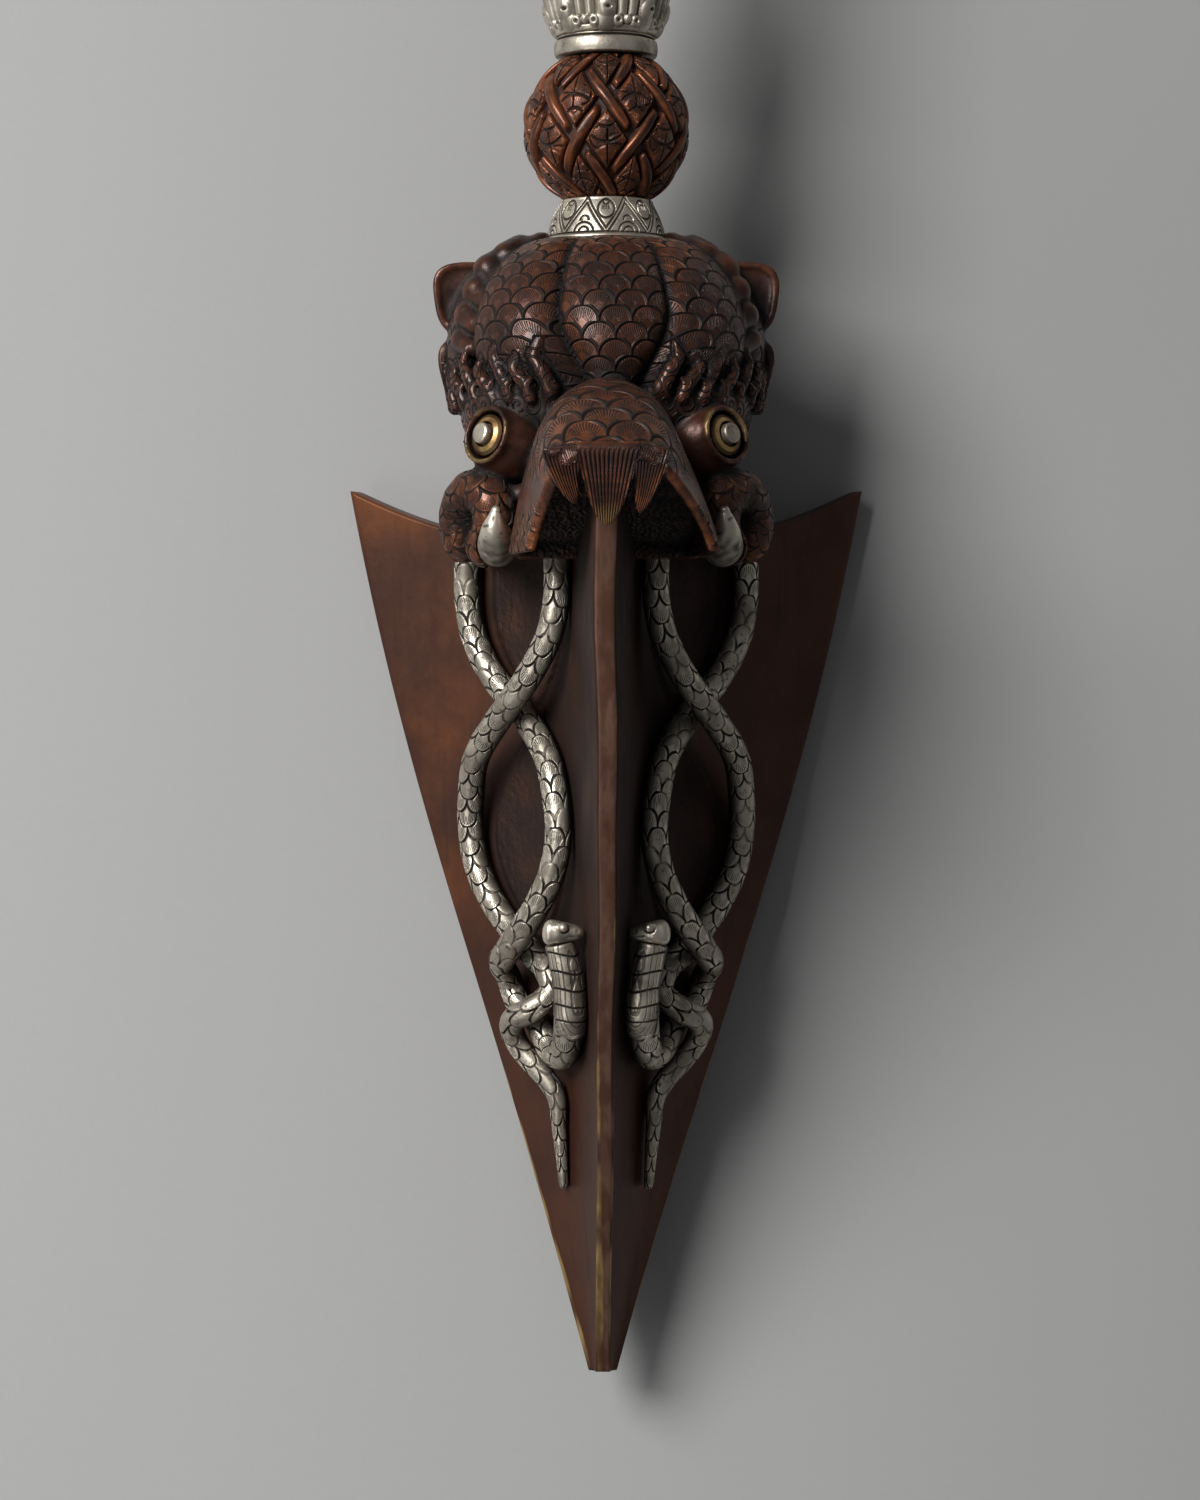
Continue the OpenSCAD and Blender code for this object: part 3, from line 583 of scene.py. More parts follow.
def copper_look(tree, place, finish):
    """Red-brown patina: black in the cuts, orange where it is rubbed, with scales, curls and pits."""
    wear, dirt_and_shade, polish = tree.split(tree.attribute("age", "Vector"))
    scales, curls, stipple = tree.split(tree.attribute("kinds", "Vector"))
    cut, fluted, _ = tree.split(tree.attribute("carved", "Vector"))
    pattern = tree.attribute("pattern", "Vector")
    _, _, phase = tree.split(pattern)
    rims, cuts, rise = scale_marks(tree, pattern, scales, 37.0)
    large = tree.noise(place, 80.0, 5.0, 0.6)
    blotch = tree.noise(place, 330.0, 4.0, 0.6)
    small = tree.noise(place, 1000.0, 4.0, 0.6)
    cloud = ramp(large * 0.55 + blotch * 0.45, 0.40, 0.62)

    # Spiral curls, one to a cell
    cells = tree.node("ShaderNodeTexVoronoi", {"voronoi_dimensions": "2D"},
                      {"Vector": pattern, "Scale": 1.0, "Randomness": 0.45}, out="Position")
    cx, cy, _ = tree.split(tree.vector("SUBTRACT", pattern, cells))
    coil = sine(root(cx * cx + cy * cy) * 17.0 - turn_of(cy, cx))
    curl_lines = ramp(coil, 0.25, 0.85) * curls

    pits = tree.node("ShaderNodeTexVoronoi", None, {"Vector": place, "Scale": 1300.0}, out="Distance")
    flute = size_of(sine(phase * math.pi))
    lines = most(rims, cuts * 0.8, curl_lines, cut, fluted * ramp(flute, 0.35, 0.1))
    base = tree.mix(cloud, finish.copper_dark, finish.copper)
    # Orange where rubbed; on the snout this also paints a warm highlight.
    rubbed_and_sheen = ramp(wear, 0.42, 0.95) * (0.35 + 0.65 * ramp(blotch, 0.4, 0.6))
    base = tree.mix(rubbed_and_sheen, base, finish.copper_worn)
    base = tree.mix(polish, base, finish.brass)
    grime = ramp(blotch, 0.52, 0.7) * (1.0 - ramp(wear, 0.3, 0.7)) * 0.6
    black = most(lines, dirt_and_shade, grime)
    base = tree.mix(black * 0.95, base, finish.near_black)
    rough = 0.24 + 0.22 * small + 0.35 * black - 0.06 * wear
    height = (rise * 0.9 + 0.5 - lines * 0.5 + small * 0.05 + blotch * 0.12 + pits * stipple * 0.5
              + flute * fluted * 0.5 - curl_lines * 0.8)
    return base, rough, 0.40 + polish * 0.5, height, 0.0007


def blade_look(tree, place, finish):
    """Smooth brown patina with cloudy tints, a painted orange glow on the lit left side, rubbed fin edges
    with a painted sheen, brass on the worn edges, and near black in the hollows and in the painted shade
    beside the front fin.
    """
    wear, dirt_and_shade, rough_cast = tree.split(tree.attribute("age", "Vector"))
    painted_glow, rubbed_and_sheen, _ = tree.split(tree.attribute("tints", "Vector"))
    large = tree.noise(place, 42.0, 6.0, 0.62)
    small = tree.noise(place, 700.0, 4.0, 0.6)
    streak = tree.noise(tree.vector("MULTIPLY", place, (1.0, 1.0, 0.10)), 480.0, 3.0)
    cloud = ramp(large, 0.36, 0.62)
    base = tree.mix(cloud, tree.mix(0.6, finish.copper_dark, finish.blade), finish.blade)
    # Painted light: an orange glow on the blade's left side, where the key lamp falls.
    base = tree.mix(ramp(large + painted_glow * 0.42, 0.54, 0.95) * 0.62, base, finish.blade_painted_glow)
    # The flat fin edges are rubbed paler, and this paler colour is also a painted sheen.
    base = tree.mix(rubbed_and_sheen * (0.4 + 0.6 * ramp(streak, 0.4, 0.6)), base, finish.blade_rubbed_and_sheen)
    bright = ramp(wear, 0.35, 0.9) * (0.35 + 0.65 * ramp(streak, 0.3, 0.7))
    base = tree.mix(bright, base, finish.brass)
    # Near black where the blade is dirty, which includes the painted shade beside the front fin's root.
    base = tree.mix(larger(dirt_and_shade, ramp(streak, 0.58, 0.75) * 0.3) * 0.92, base, finish.near_black)
    rough = 0.30 + 0.14 * small + 0.16 * streak + dirt_and_shade * 0.3 - wear * 0.05
    height = small * (0.06 + rough_cast * 0.9) + large * 0.3 + streak * (0.06 + rough_cast * 0.6)
    return base, rough, 0.55 + wear * 0.25, height, 0.0004


def silver_look(tree, place, finish):
    """Tarnished silver with black cuts: scales where the piece has them."""
    wear, dirt_and_shade, _ = tree.split(tree.attribute("age", "Vector"))
    scales, belly, cut = tree.split(tree.attribute("kinds", "Vector"))
    pattern = tree.attribute("pattern", "Vector")
    rims, cuts, rise = scale_marks(tree, pattern, scales, 24.0)
    across, along, _ = tree.split(pattern)
    bands = larger(line(near_whole(along), 0.10), line(near_whole(across * 1.6), 0.16) * 0.7) * belly
    large = tree.noise(place, 170.0, 5.0, 0.6)
    small = tree.noise(place, 1400.0, 4.0, 0.6)
    rims = rims * (0.45 + 0.55 * ramp(large, 0.42, 0.5))
    lines = most(rims, cuts * 0.85 * ramp(large, 0.46, 0.54), cut, bands)
    cloud = ramp(large, 0.34, 0.66)
    base = tree.mix(cloud, finish.silver_dull, finish.silver)
    base = tree.mix(ramp(wear, 0.4, 1.0), base, finish.silver)
    base = tree.mix(ramp(large, 0.6, 0.75) * 0.3, base, finish.brass)
    stains = ramp(small, 0.57, 0.70) * ramp(large, 0.57, 0.42) * 0.8
    # The dirt here includes the painted shade on the serpents' sides that turn in to the blade.
    black = most(lines * 0.97, dirt_and_shade, stains)
    base = tree.mix(black, base, finish.near_black)
    rough = 0.23 + 0.2 * small + 0.12 * (1.0 - cloud) + 0.35 * black
    height = rise * 0.45 + 0.5 - lines * 0.4 + small * 0.07 + large * 0.10
    return base, rough, 0.82, height, 0.0005


def brass_look(tree, place, finish):
    """Rubbed brass, darker in patches."""
    large = tree.noise(place, 260.0, 4.0)
    small = tree.noise(place, 1500.0, 3.0)
    wear, dirt_and_shade, _ = tree.split(tree.attribute("age", "Vector"))
    base = tree.mix(ramp(large, 0.35, 0.6) * (1.0 - wear * 0.5), finish.brass, finish.copper_worn)
    base = tree.mix(larger(dirt_and_shade, ramp(large, 0.45, 0.62) * 0.6), base, finish.near_black)
    return base, 0.25 + 0.2 * small + 0.3 * dirt_and_shade, 0.85, small * 0.1 + large * 0.2, 0.0003


def iron_look(tree, place, finish):
    """Plain dark iron for the hidden rod."""
    grain = tree.noise(place, 500.0, 3.0)
    return tree.mix(grain, finish.near_black, finish.silver_dull), 0.45 + 0.2 * grain, 0.9, grain, 0.0002


LOOKS = {"aged_copper": copper_look, "brown_patina": blade_look, "aged_silver": silver_look,
         "rubbed_brass": brass_look, "plain_iron": iron_look}


def material(name):
    """A finished metal by name, made on first use from its colour, roughness, metallic and height."""
    found = bpy.data.materials.get(name)
    if found:
        return found
    made, tree = new_material(name)
    base, rough, metallic, height, deep = LOOKS[name](tree, places(tree), mm("finishes"))
    normal = tree.node("ShaderNodeBump", None, {"Strength": 1.0, "Distance": deep, "Height": height})
    shader = tree.node("ShaderNodeBsdfPrincipled", None, {
        "Base Color": base, "Roughness": rough, "Metallic": metallic, "Normal": normal})
    tree.node("ShaderNodeOutputMaterial", None, {"Surface": shader})
    return made


# Clay: forms as distances, joined on a grid of voxels

def smooth_min(a, b, k):
    """The smaller of two distances, blended where they differ by less than k."""
    h = held(0.5 + 0.5 * (b - a) / k)
    return b + (a - b) * h - k * h * (1 - h)


class Form:
    """A solid given by its distance function, in millimetres, with the box that holds it."""

    def __init__(self, distance, low, high):
        self.distance = distance
        self.low = np.array(low, dtype=float)
        self.high = np.array(high, dtype=float)

    def near(self, points, width):
        """1 for points on or in the form, falling to 0 at that width outside."""
        return ramp(self.distance(*points.T), width, 0.15)


def ball(centre, radius):
    """A ball, whose distances are understated so that it blends softly."""
    c = np.array(centre, dtype=float)

    def distance(x, y, z):
        return (np.sqrt((x - c[0]) ** 2 + (y - c[1]) ** 2 + (z - c[2]) ** 2) - radius) * 0.7
    return Form(distance, c - radius, c + radius)


def rope(points):
    """A round run through points, each [x, y, z, radius]."""
    p = np.array(points, dtype=float)

    def distance(x, y, z):
        best = None
        for a, b in zip(p[:-1], p[1:]):
            d = b - a
            t = ((x - a[0]) * d[0] + (y - a[1]) * d[1] + (z - a[2]) * d[2]) / (d[:3] @ d[:3])
            t = held(t)
            gx, gy, gz, radius = (a[k] + t * d[k] for k in range(4))
            gone = np.sqrt((x - gx) ** 2 + (y - gy) ** 2 + (z - gz) ** 2) - radius
            best = gone if best is None else smaller(best, gone)
        return best
    widest = p[:, 3].max()
    return Form(distance, p[:, :3].min(axis=0) - widest, p[:, :3].max(axis=0) + widest)


class Clay:
    """A block of voxels that forms are added to and cut from."""

    def __init__(self, low, high, step):
        self.step = step
        self.axes = [np.arange(a, b + step, step, dtype=np.float32) for a, b in zip(low, high)]
        self.low = np.array([axis[0] for axis in self.axes])
        self.far = np.full([len(a) for a in self.axes], 6.0, dtype=np.float32)

    def window(self, form, pad):
        """The voxels round a form, and their distances from it."""
        spans = []
        for axis, low, high in zip(self.axes, form.low - pad, form.high + pad):
            spans.append(slice(*np.searchsorted(axis, [low, high])))
        grids = np.meshgrid(*[axis[s] for axis, s in zip(self.axes, spans)], indexing="ij", sparse=True)
        return tuple(spans), form.distance(*grids)

    def add(self, form, blend):
        where, distance = self.window(form, blend + 2)
        self.far[where] = smooth_min(self.far[where], distance, blend)

    def cut(self, form, blend):
        where, distance = self.window(form, blend + 1)
        self.far[where] = -smooth_min(-self.far[where], distance, blend)

    def skin(self):
        """Points in millimetres and the quads between them, facing outwards."""
        grid = openvdb.FloatGrid()
        grid.background = 6.0
        grid.copyFromArray(np.clip(self.far, -6, 6))
        points, quads = grid.convertToQuads(isovalue=0.0)
        return points * self.step + self.low, quads[:, ::-1]

    def hollows(self, points, passes):
        """Above 0 where the surface is raised and below 0 where it is sunk, in millimetres."""
        soft = self.far.copy()
        for _ in range(passes):
            for axis in range(3):
                soft = (np.roll(soft, 1, axis) + np.roll(soft, -1, axis) + 2 * soft) * 0.25
        place = (points - self.low) / self.step
        cell = np.clip(place.astype(int), 0, np.array(self.far.shape) - 2)
        part = place - cell
        value = 0
        for corner in range(8):
            bit = np.array([corner >> 2 & 1, corner >> 1 & 1, corner & 1])
            weight = np.prod(np.where(bit, part, 1 - part), axis=1)
            value = value + weight * soft[tuple((cell + bit).T)]
        return value


def polar(r, degrees, z, w=None):
    """A point at that many degrees from straight ahead, positive to the right; w adds a radius."""
    a = FRONT + math.radians(degrees)
    spot = [r * math.cos(a), r * math.sin(a), z]
    return spot if w is None else spot + [w]


def mirrored(points):
    return [[-p[0], *p[1:]] for p in points]


# The head's main forms

def skull_at(h, z):
    """Radius of the skull: domed above, waisted at the eyes, with a jaw below."""
    upper = h.collar + (h.skull - h.collar) * np.sqrt(
        larger(0, 1 - ((z - h.skull_mid) / (h.top - h.skull_mid)) ** 2))
    t = held((z - h.waist_mid) / (h.skull_mid - h.waist_mid))
    lower = h.waist + (h.skull - h.waist) * (0.5 - 0.5 * np.cos(math.pi * t))
    jaw = h.waist + 3 * np.sin(0.7 * math.pi * held((h.waist_mid - z) / (h.waist_mid - h.foot)))
    return np.where(z > h.skull_mid, upper, np.where(z > h.waist_mid, lower, jaw))


SKULL_TURN = math.radians(3)


def lobe_share(h, z):
    """Width of the front lobe as a share of an even one: it narrows down."""
    return 0.42 + 0.58 * ramp(z, h.skull_mid - 10, h.skull_mid + 5)


def lobe_place(h, x, y, z):
    """Which lobe a point is on, and its place across that lobe from -1 to 1."""
    a = np.arctan2(x, -y) - SKULL_TURN
    step = 2 * math.pi / h.lobes
    edge = step / 2 * lobe_share(h, z)
    side = np.abs(a)
    inner = side / edge * step / 2
    outer = step / 2 + (side - edge) * step / (1.5 * step - edge)
    warped = np.where(side < edge, inner, np.where(side < 1.5 * step, outer, side)) * np.sign(a)
    number = np.round(warped / step)
    return number, (warped / step - number) * 2


def skull_form(h):
    def distance(x, y, z):
        r = np.sqrt(x * x + y * y)
        _, across = lobe_place(h, x, y, z)
        deep = h.groove * held((z - h.waist_mid) / 8)
        radius = skull_at(h, np.clip(z, h.foot, h.top)) * (
            1 - deep * (1 - np.cos(math.pi / 2 * np.abs(across) ** 1.3) ** 0.6))
        side = (r - radius) * 0.82
        return larger(side, larger(z - h.top, h.foot - z))
    reach = h.skull + 1
    return Form(distance, [-reach, -reach, h.foot], [reach, reach, h.top])


SNOUT_ROOT = 14
WALL_START = 20
SNOUT_CREST = 28
THROAT = 20


def snout_half(h, d):
    """Half the snout's width at distance d from the axis."""
    bow = larger(0, d - WALL_START) / (1.18 * h.snout - WALL_START)
    return h.snout_wide * np.sqrt(larger(0.05, 1 - bow ** 2))


def snout_ridge(h, d):
    """Height of the snout's ridge at distance d."""
    tall = h.snout_top - h.foot
    part = (h.snout_edge - h.foot) / tall
    reach = (h.snout - SNOUT_CREST) / math.sqrt(1 - part * part)
    return h.foot + tall * np.sqrt(larger(0.02, 1 - ((d - SNOUT_CREST) / reach) ** 2))


def rim_at(h, z):
    """How far forward the snout reaches at a height: its rim falls back to the lips."""
    return h.snout - 11.5 * ramp(z, h.snout_edge - 1, h.foot)


def snout_form(h, wall=0.0):
    """The arched snout with its flaring lips. A wall gives the hollow inside it, open in front and below."""
    def distance(x, y, z):
        d = -y
        x = x - 2.3 * ramp(z, h.snout_edge + 4, h.foot) * ramp(d, 18, 42)
        top = snout_ridge(h, np.clip(d, 0, h.snout)) - wall
        half = snout_half(h, np.clip(d, 0, h.snout)) - wall
        t = (z - h.foot) / (top - h.foot)
        flare = 2.6 * np.clip(1 - t, 0, 1.2) ** 2.2 * ramp(d, 18, 30)
        power = 2.1 + 2.1 * ramp(d, 30, h.snout)
        arch = (np.clip(t, 0, 1.6) ** power + (np.abs(x) / (half + flare)) ** power) ** (1 / power)
        side = (arch - 1) * smaller(half, top - h.foot) * 0.8
        if wall:
            return side
        ends = larger(d - rim_at(h, z), h.foot - 0.4 - z)
        return larger(-smooth_min(-side, -ends, 0.7), SNOUT_ROOT - d)
    return Form(distance, [-19, -h.snout - 1, h.foot - 2], [19, -SNOUT_ROOT, h.snout_top + 1])


def mouth_form(h):
    """The hollow below the palate, with walls of even thickness."""
    inner = snout_form(h, wall=1.8)

    def distance(x, y, z):
        d = -y
        palate = h.foot + 2 + (h.snout_edge - h.foot - 3.4) * ramp(d, THROAT, h.snout * 0.8)
        return larger(larger(inner.distance(x, y, z), z - palate), THROAT - d)
    return Form(distance, [-20, -h.snout - 2, h.foot - 3], [20, -THROAT + 1, h.snout_edge + 2])


def eye_line(e, side):
    """The direction of an eye."""
    a = FRONT + side * e.turn
    flat = math.cos(e.tilt)
    return np.array([flat * math.cos(a), flat * math.sin(a), math.sin(e.tilt)])


def eye_spot(e, side, out):
    """A point that far out on an eye's line."""
    return np.array([0, 0, e.root]) + out * eye_line(e, side)


def disc_form(e, side, start, end, radius, tip=None):
    """A round peg along an eye's line, from start to end, with tip as its end radius."""
    aim = eye_line(e, side)
    tip = radius if tip is None else tip

    def distance(x, y, z):
        px, py, pz = x, y, z - e.root
        along = px * aim[0] + py * aim[1] + pz * aim[2]
        off = np.sqrt(larger(px * px + py * py + pz * pz - along * along, 0))
        t = held((along - start) / (end - start))
        return larger(off - radius - (tip - radius) * t, larger(start - along, along - end))
    a, b = eye_spot(e, side, start), eye_spot(e, side, end)
    return Form(distance, smaller(a, b) - radius, larger(a, b) + radius)


FRINGE_THICK = 1.0
FRINGE_ROUND = 0.6


def fringe_form(middle, wide, top, tip, lean, depth):
    """A hanging flap of the fringe, which narrows to its point and leans sideways."""
    def distance(x, y, z):
        t = held((top - z) / (top - tip))
        half = wide * np.sqrt(larger(0.02, 1 - t ** 1.9)) * (1 - 0.25 * t)
        side = np.abs(x - middle - lean * t ** 1.4) - half
        face = np.abs(y + depth - 1.6 * t * t) - FRINGE_THICK
        round_off = np.hypot(larger(side + FRINGE_ROUND, 0), larger(face + FRINGE_ROUND, 0)) * 0.15
        return most(most(side, face) + round_off, z - top - FRINGE_ROUND, tip - z)

    def across(x, z):
        t = held((top - z) / (top - tip))
        return (x - middle - lean * t ** 1.4) / (wide * (1.05 - 0.62 * t))
    reach = abs(lean) + wide + 1
    form = Form(distance, [middle - reach, -depth - 2, tip - 1], [middle + reach, -depth + 4, top + 1])
    form.across = across
    return form


def ear_form(side, middle, height, wide, tall, slant):
    """A smooth ear flap with a thick rim, whose outer edge slants in towards its foot."""
    def distance(x, y, z):
        across = (x * side - middle - slant * (z - height)) / wide
        up = (z - height) / tall
        shape = (np.abs(across) ** 3.2 + np.abs(up) ** 3.2) ** (1 / 3.2)
        thick = 0.9 + 0.45 * ramp(shape, 0.78, 0.9)
        return larger((shape - 1) * min(wide, tall) * 0.8, np.abs(y - 0.4) - thick)
    reach = wide + abs(slant) * tall
    x_low, x_high = sorted([side * (middle - reach), side * (middle + reach)])
    return Form(distance, [x_low, -1.8, height - tall], [x_high, 2.2, height + tall])


JAW_OUT = 25.8
JAW_TURN = 53
JAW_HIGH = 5.5
JAW_RING = 4.7
JAW_SUNK = 0.6


def jaw_frame(h):
    """Middle of the right jaw roll, the way out from the axis there, and the way across."""
    out = np.array(polar(1, JAW_TURN, 0))
    return np.array(polar(JAW_OUT, JAW_TURN, h.foot + JAW_HIGH)), out, np.array([-out[1], out[0], 0])


def head_forms(h, e):
    """The forms of the head by name: lists of (form, blend) to add in order."""
    forms = {"skull": [(skull_form(h), 0.5)], "snout": [(snout_form(h), 1.2)]}
    brow, flames, ears, mane, eyes, jaws = [], [], [], [], [], []
    for side in (-1, 1):
        flip = mirrored if side < 0 else list
        z = h.skull_mid
        r = h.skull
        brow_line = [polar(r - inset, d, z - drop, 3.6) for d, inset, drop in
                     ((22, 6.2, 10.6), (34, 4.6, 9.6), (48, 3.8, 9.2), (62, 4.2, 9.4), (76, 5.4, 11.0),
                      (90, 7.0, 13.6))]
        brow.append((rope(flip(brow_line)), 1.8))
        for number, degrees in enumerate((24, 33, 42, 51.5, 62, 73, 85)):
            tall = 1.0 - 0.22 * (number % 2)
            path = [polar(r - 3.7, degrees, z - 9.8, 1.7), polar(r - 1.9, degrees - 2.8, z - 7.8, 1.45),
                    polar(r - 1.0, degrees - 0.2, z - 9.5 + 4.4 * tall, 1.2),
                    polar(r - 0.8, degrees + 3.4, z - 9.5 + 6.6 * tall, 0.85),
                    polar(r - 0.9, degrees + 1.4, z - 9.5 + 9.0 * tall, 0.35)]
            flames.append((rope(flip(path)), 0.25))
            hook = [polar(r - 1.2, degrees + 4.8, z - 9.2, 1.05), polar(r - 0.6, degrees + 6.0, z - 7.2, 0.8),
                    polar(r - 0.9, degrees + 4.2, z - 6.2, 0.5)]
            flames.append((rope(flip(hook)), 0.2))
        ears.append((ear_form(side, 20.6, z + 8.2, 6.9, 6.0, 0.13), 0.5))
        ears.append((ear_form(side, 19.4, z - 4.6, 6.9, 6.8, 0.25), 0.5))
        lumps = ((13.0, 74, h.top - 2.4, 2.6), (16.4, 72, h.top - 3.0, 2.7), (19.2, 73, h.top - 5.2, 2.9),
                 (21.2, 72, h.top - 8.6, 2.8), (22.8, 72, h.top - 12.4, 2.5), (23.8, 72, h.top - 16.2, 2.0))
        for lump_r, degrees, high, wide in lumps:
            tips = [polar(lump_r - 2.6, degrees + 9, high + 1.4, wide), polar(lump_r, degrees, high, wide),
                    polar(lump_r - 0.2, degrees - 7, high - 1.6, wide * 0.7)]
            mane.append((rope(flip(tips)), 0.5))
        eyes.append((ball(eye_spot(e, side, e.out - 5.6), 6.3), 0.8))
        eyes.append((disc_form(e, side, e.out - 3.4, e.out, e.rim, e.rim - 0.15), 0.5))
        bag = [polar(bag_r, degrees, h.foot + high, wide) for bag_r, degrees, high, wide in
               ((20.5, 28, 11.7, 1.0), (22.6, 36, 9.7, 1.35), (22.8, 46, 9.3, 1.4), (21.2, 56, 10.3, 1.1))]
        eyes.append((rope(flip(bag)), 0.9))
        hub, out, across = jaw_frame(h)
        ring = []
        for turn in range(-150, 131, 28):
            a = math.radians(turn)
            spot = hub + across * JAW_RING * math.sin(a) + np.array([0, 0, JAW_RING * math.cos(a)])
            ring.append([*(spot - out * JAW_SUNK), 3.7 - 0.35 * abs(turn) / 150])
        jaws.append((rope(flip(ring)), 0.7))
        root_run = [polar(15, JAW_TURN, h.foot + 5, 5), polar(22, JAW_TURN, h.foot + 5.6, 3.6)]
        jaws.append((rope(flip(root_run)), 1.0))
    forms.update(brow=brow, flames=flames, ears=ears, mane=mane, eyes=eyes, jaws=jaws)
    return forms


def tusk_line(h, e, side):
    """The run of a tusk's middle; the right one stands a little further out."""
    x = side * e.tusk_out + (1.2 if side > 0 else 0.0)
    return [[x, -13.5, h.foot + 1.6, e.tusk], [x, -18.5, h.foot + 1.4, e.tusk],
            [x, -22.5, h.foot + 2.2, e.tusk * 0.92],
            [x + side * 0.2, -25, h.foot + e.tusk_long * 0.6, e.tusk * 0.68],
            [x, -26, h.foot + e.tusk_long, 0.8]]


def blade_room(b, h):
    """Room for the blade's upper end and tang."""
    def distance(x, y, z):
        best = larger(np.sqrt(x * x + y * y) - b.tang - 0.2, z - b.tang_top - 0.3)
        for k in range(FINS):
            r, t = facing(FRONT + k * 2 * SIXTH, x, y)
            wide = larger(b.edge / 2, 8.6 - 0.52 * r)
            fin = most(np.abs(t) - wide - 0.25, z - shoulder_at(b, r) - 0.25, r - b.reach - 0.3, -r)
            best = smaller(best, fin)
        return best
    return Form(distance, [-h.skull - 9, -h.snout, h.foot - 4], [h.skull + 9, h.skull + 9, b.tang_top + 2])


ROD_ROOM = 2.7


def shape_head(h, e, b):
    """The head's clay, and its forms by name."""
    clay = Clay([-h.skull - 4, -h.snout - 2, h.foot - 4], [h.skull + 4, h.skull + 3, h.top + 2], h.voxel)
    forms = head_forms(h, e)
    for name in ("skull", "snout", "mane", "brow", "flames", "ears", "jaws", "eyes"):
        for form, blend in forms[name]:
            clay.add(form, blend)
    clay.cut(mouth_form(h), 0.5)
    fringe = [fringe_form(0.2, 4.6, h.snout_edge, h.fringe, -0.2, h.snout - 1.1),
              fringe_form(-7.0, 2.7, h.snout_edge - 0.6, h.fringe + 3.0, 2.3, h.snout - 1.5),
              fringe_form(6.7, 2.6, h.snout_edge - 0.6, h.fringe + 1.7, -1.8, h.snout - 1.5)]
    forms["fringe"] = [(form, 0.5) for form in fringe]
    for form in fringe:
        clay.add(form, 0.5)
    edge = [[x, -h.snout + 0.7, h.snout_edge - 0.1 - 0.012 * x * x, 0.6] for x in np.linspace(-8.4, 8.0, 9)]
    clay.add(rope(edge), 0.25)
    for side in (-1, 1):
        clay.cut(rope(smooth_path(tusk_line(h, e, side), 4) + [0, 0, 0, 0.15]), 0.3)
        clay.cut(disc_form(e, side, e.out - 4, e.out + 3, e.ball + 0.55), 0.2)
        clay.cut(disc_form(e, side, e.out - 0.35, e.out + 3, e.rim - 0.9), 0.3)
    clay.cut(blade_room(b, h), 0.2)
    clay.cut(rope([[0, 0, b.tang_top - 2, ROD_ROOM], [0, 0, h.top + 4, ROD_ROOM]]), 0.1)
    return clay, forms


SCALE_WIDE = 5.1
CURL_WIDE = 3.1
SNOUT_WRAP = 14.5  # radius at which scales go round the snout
JAW_WRAP = 7.0  # radius at which they follow a jaw roll
JAW_TUBE = 4.0  # radius at which they go round it


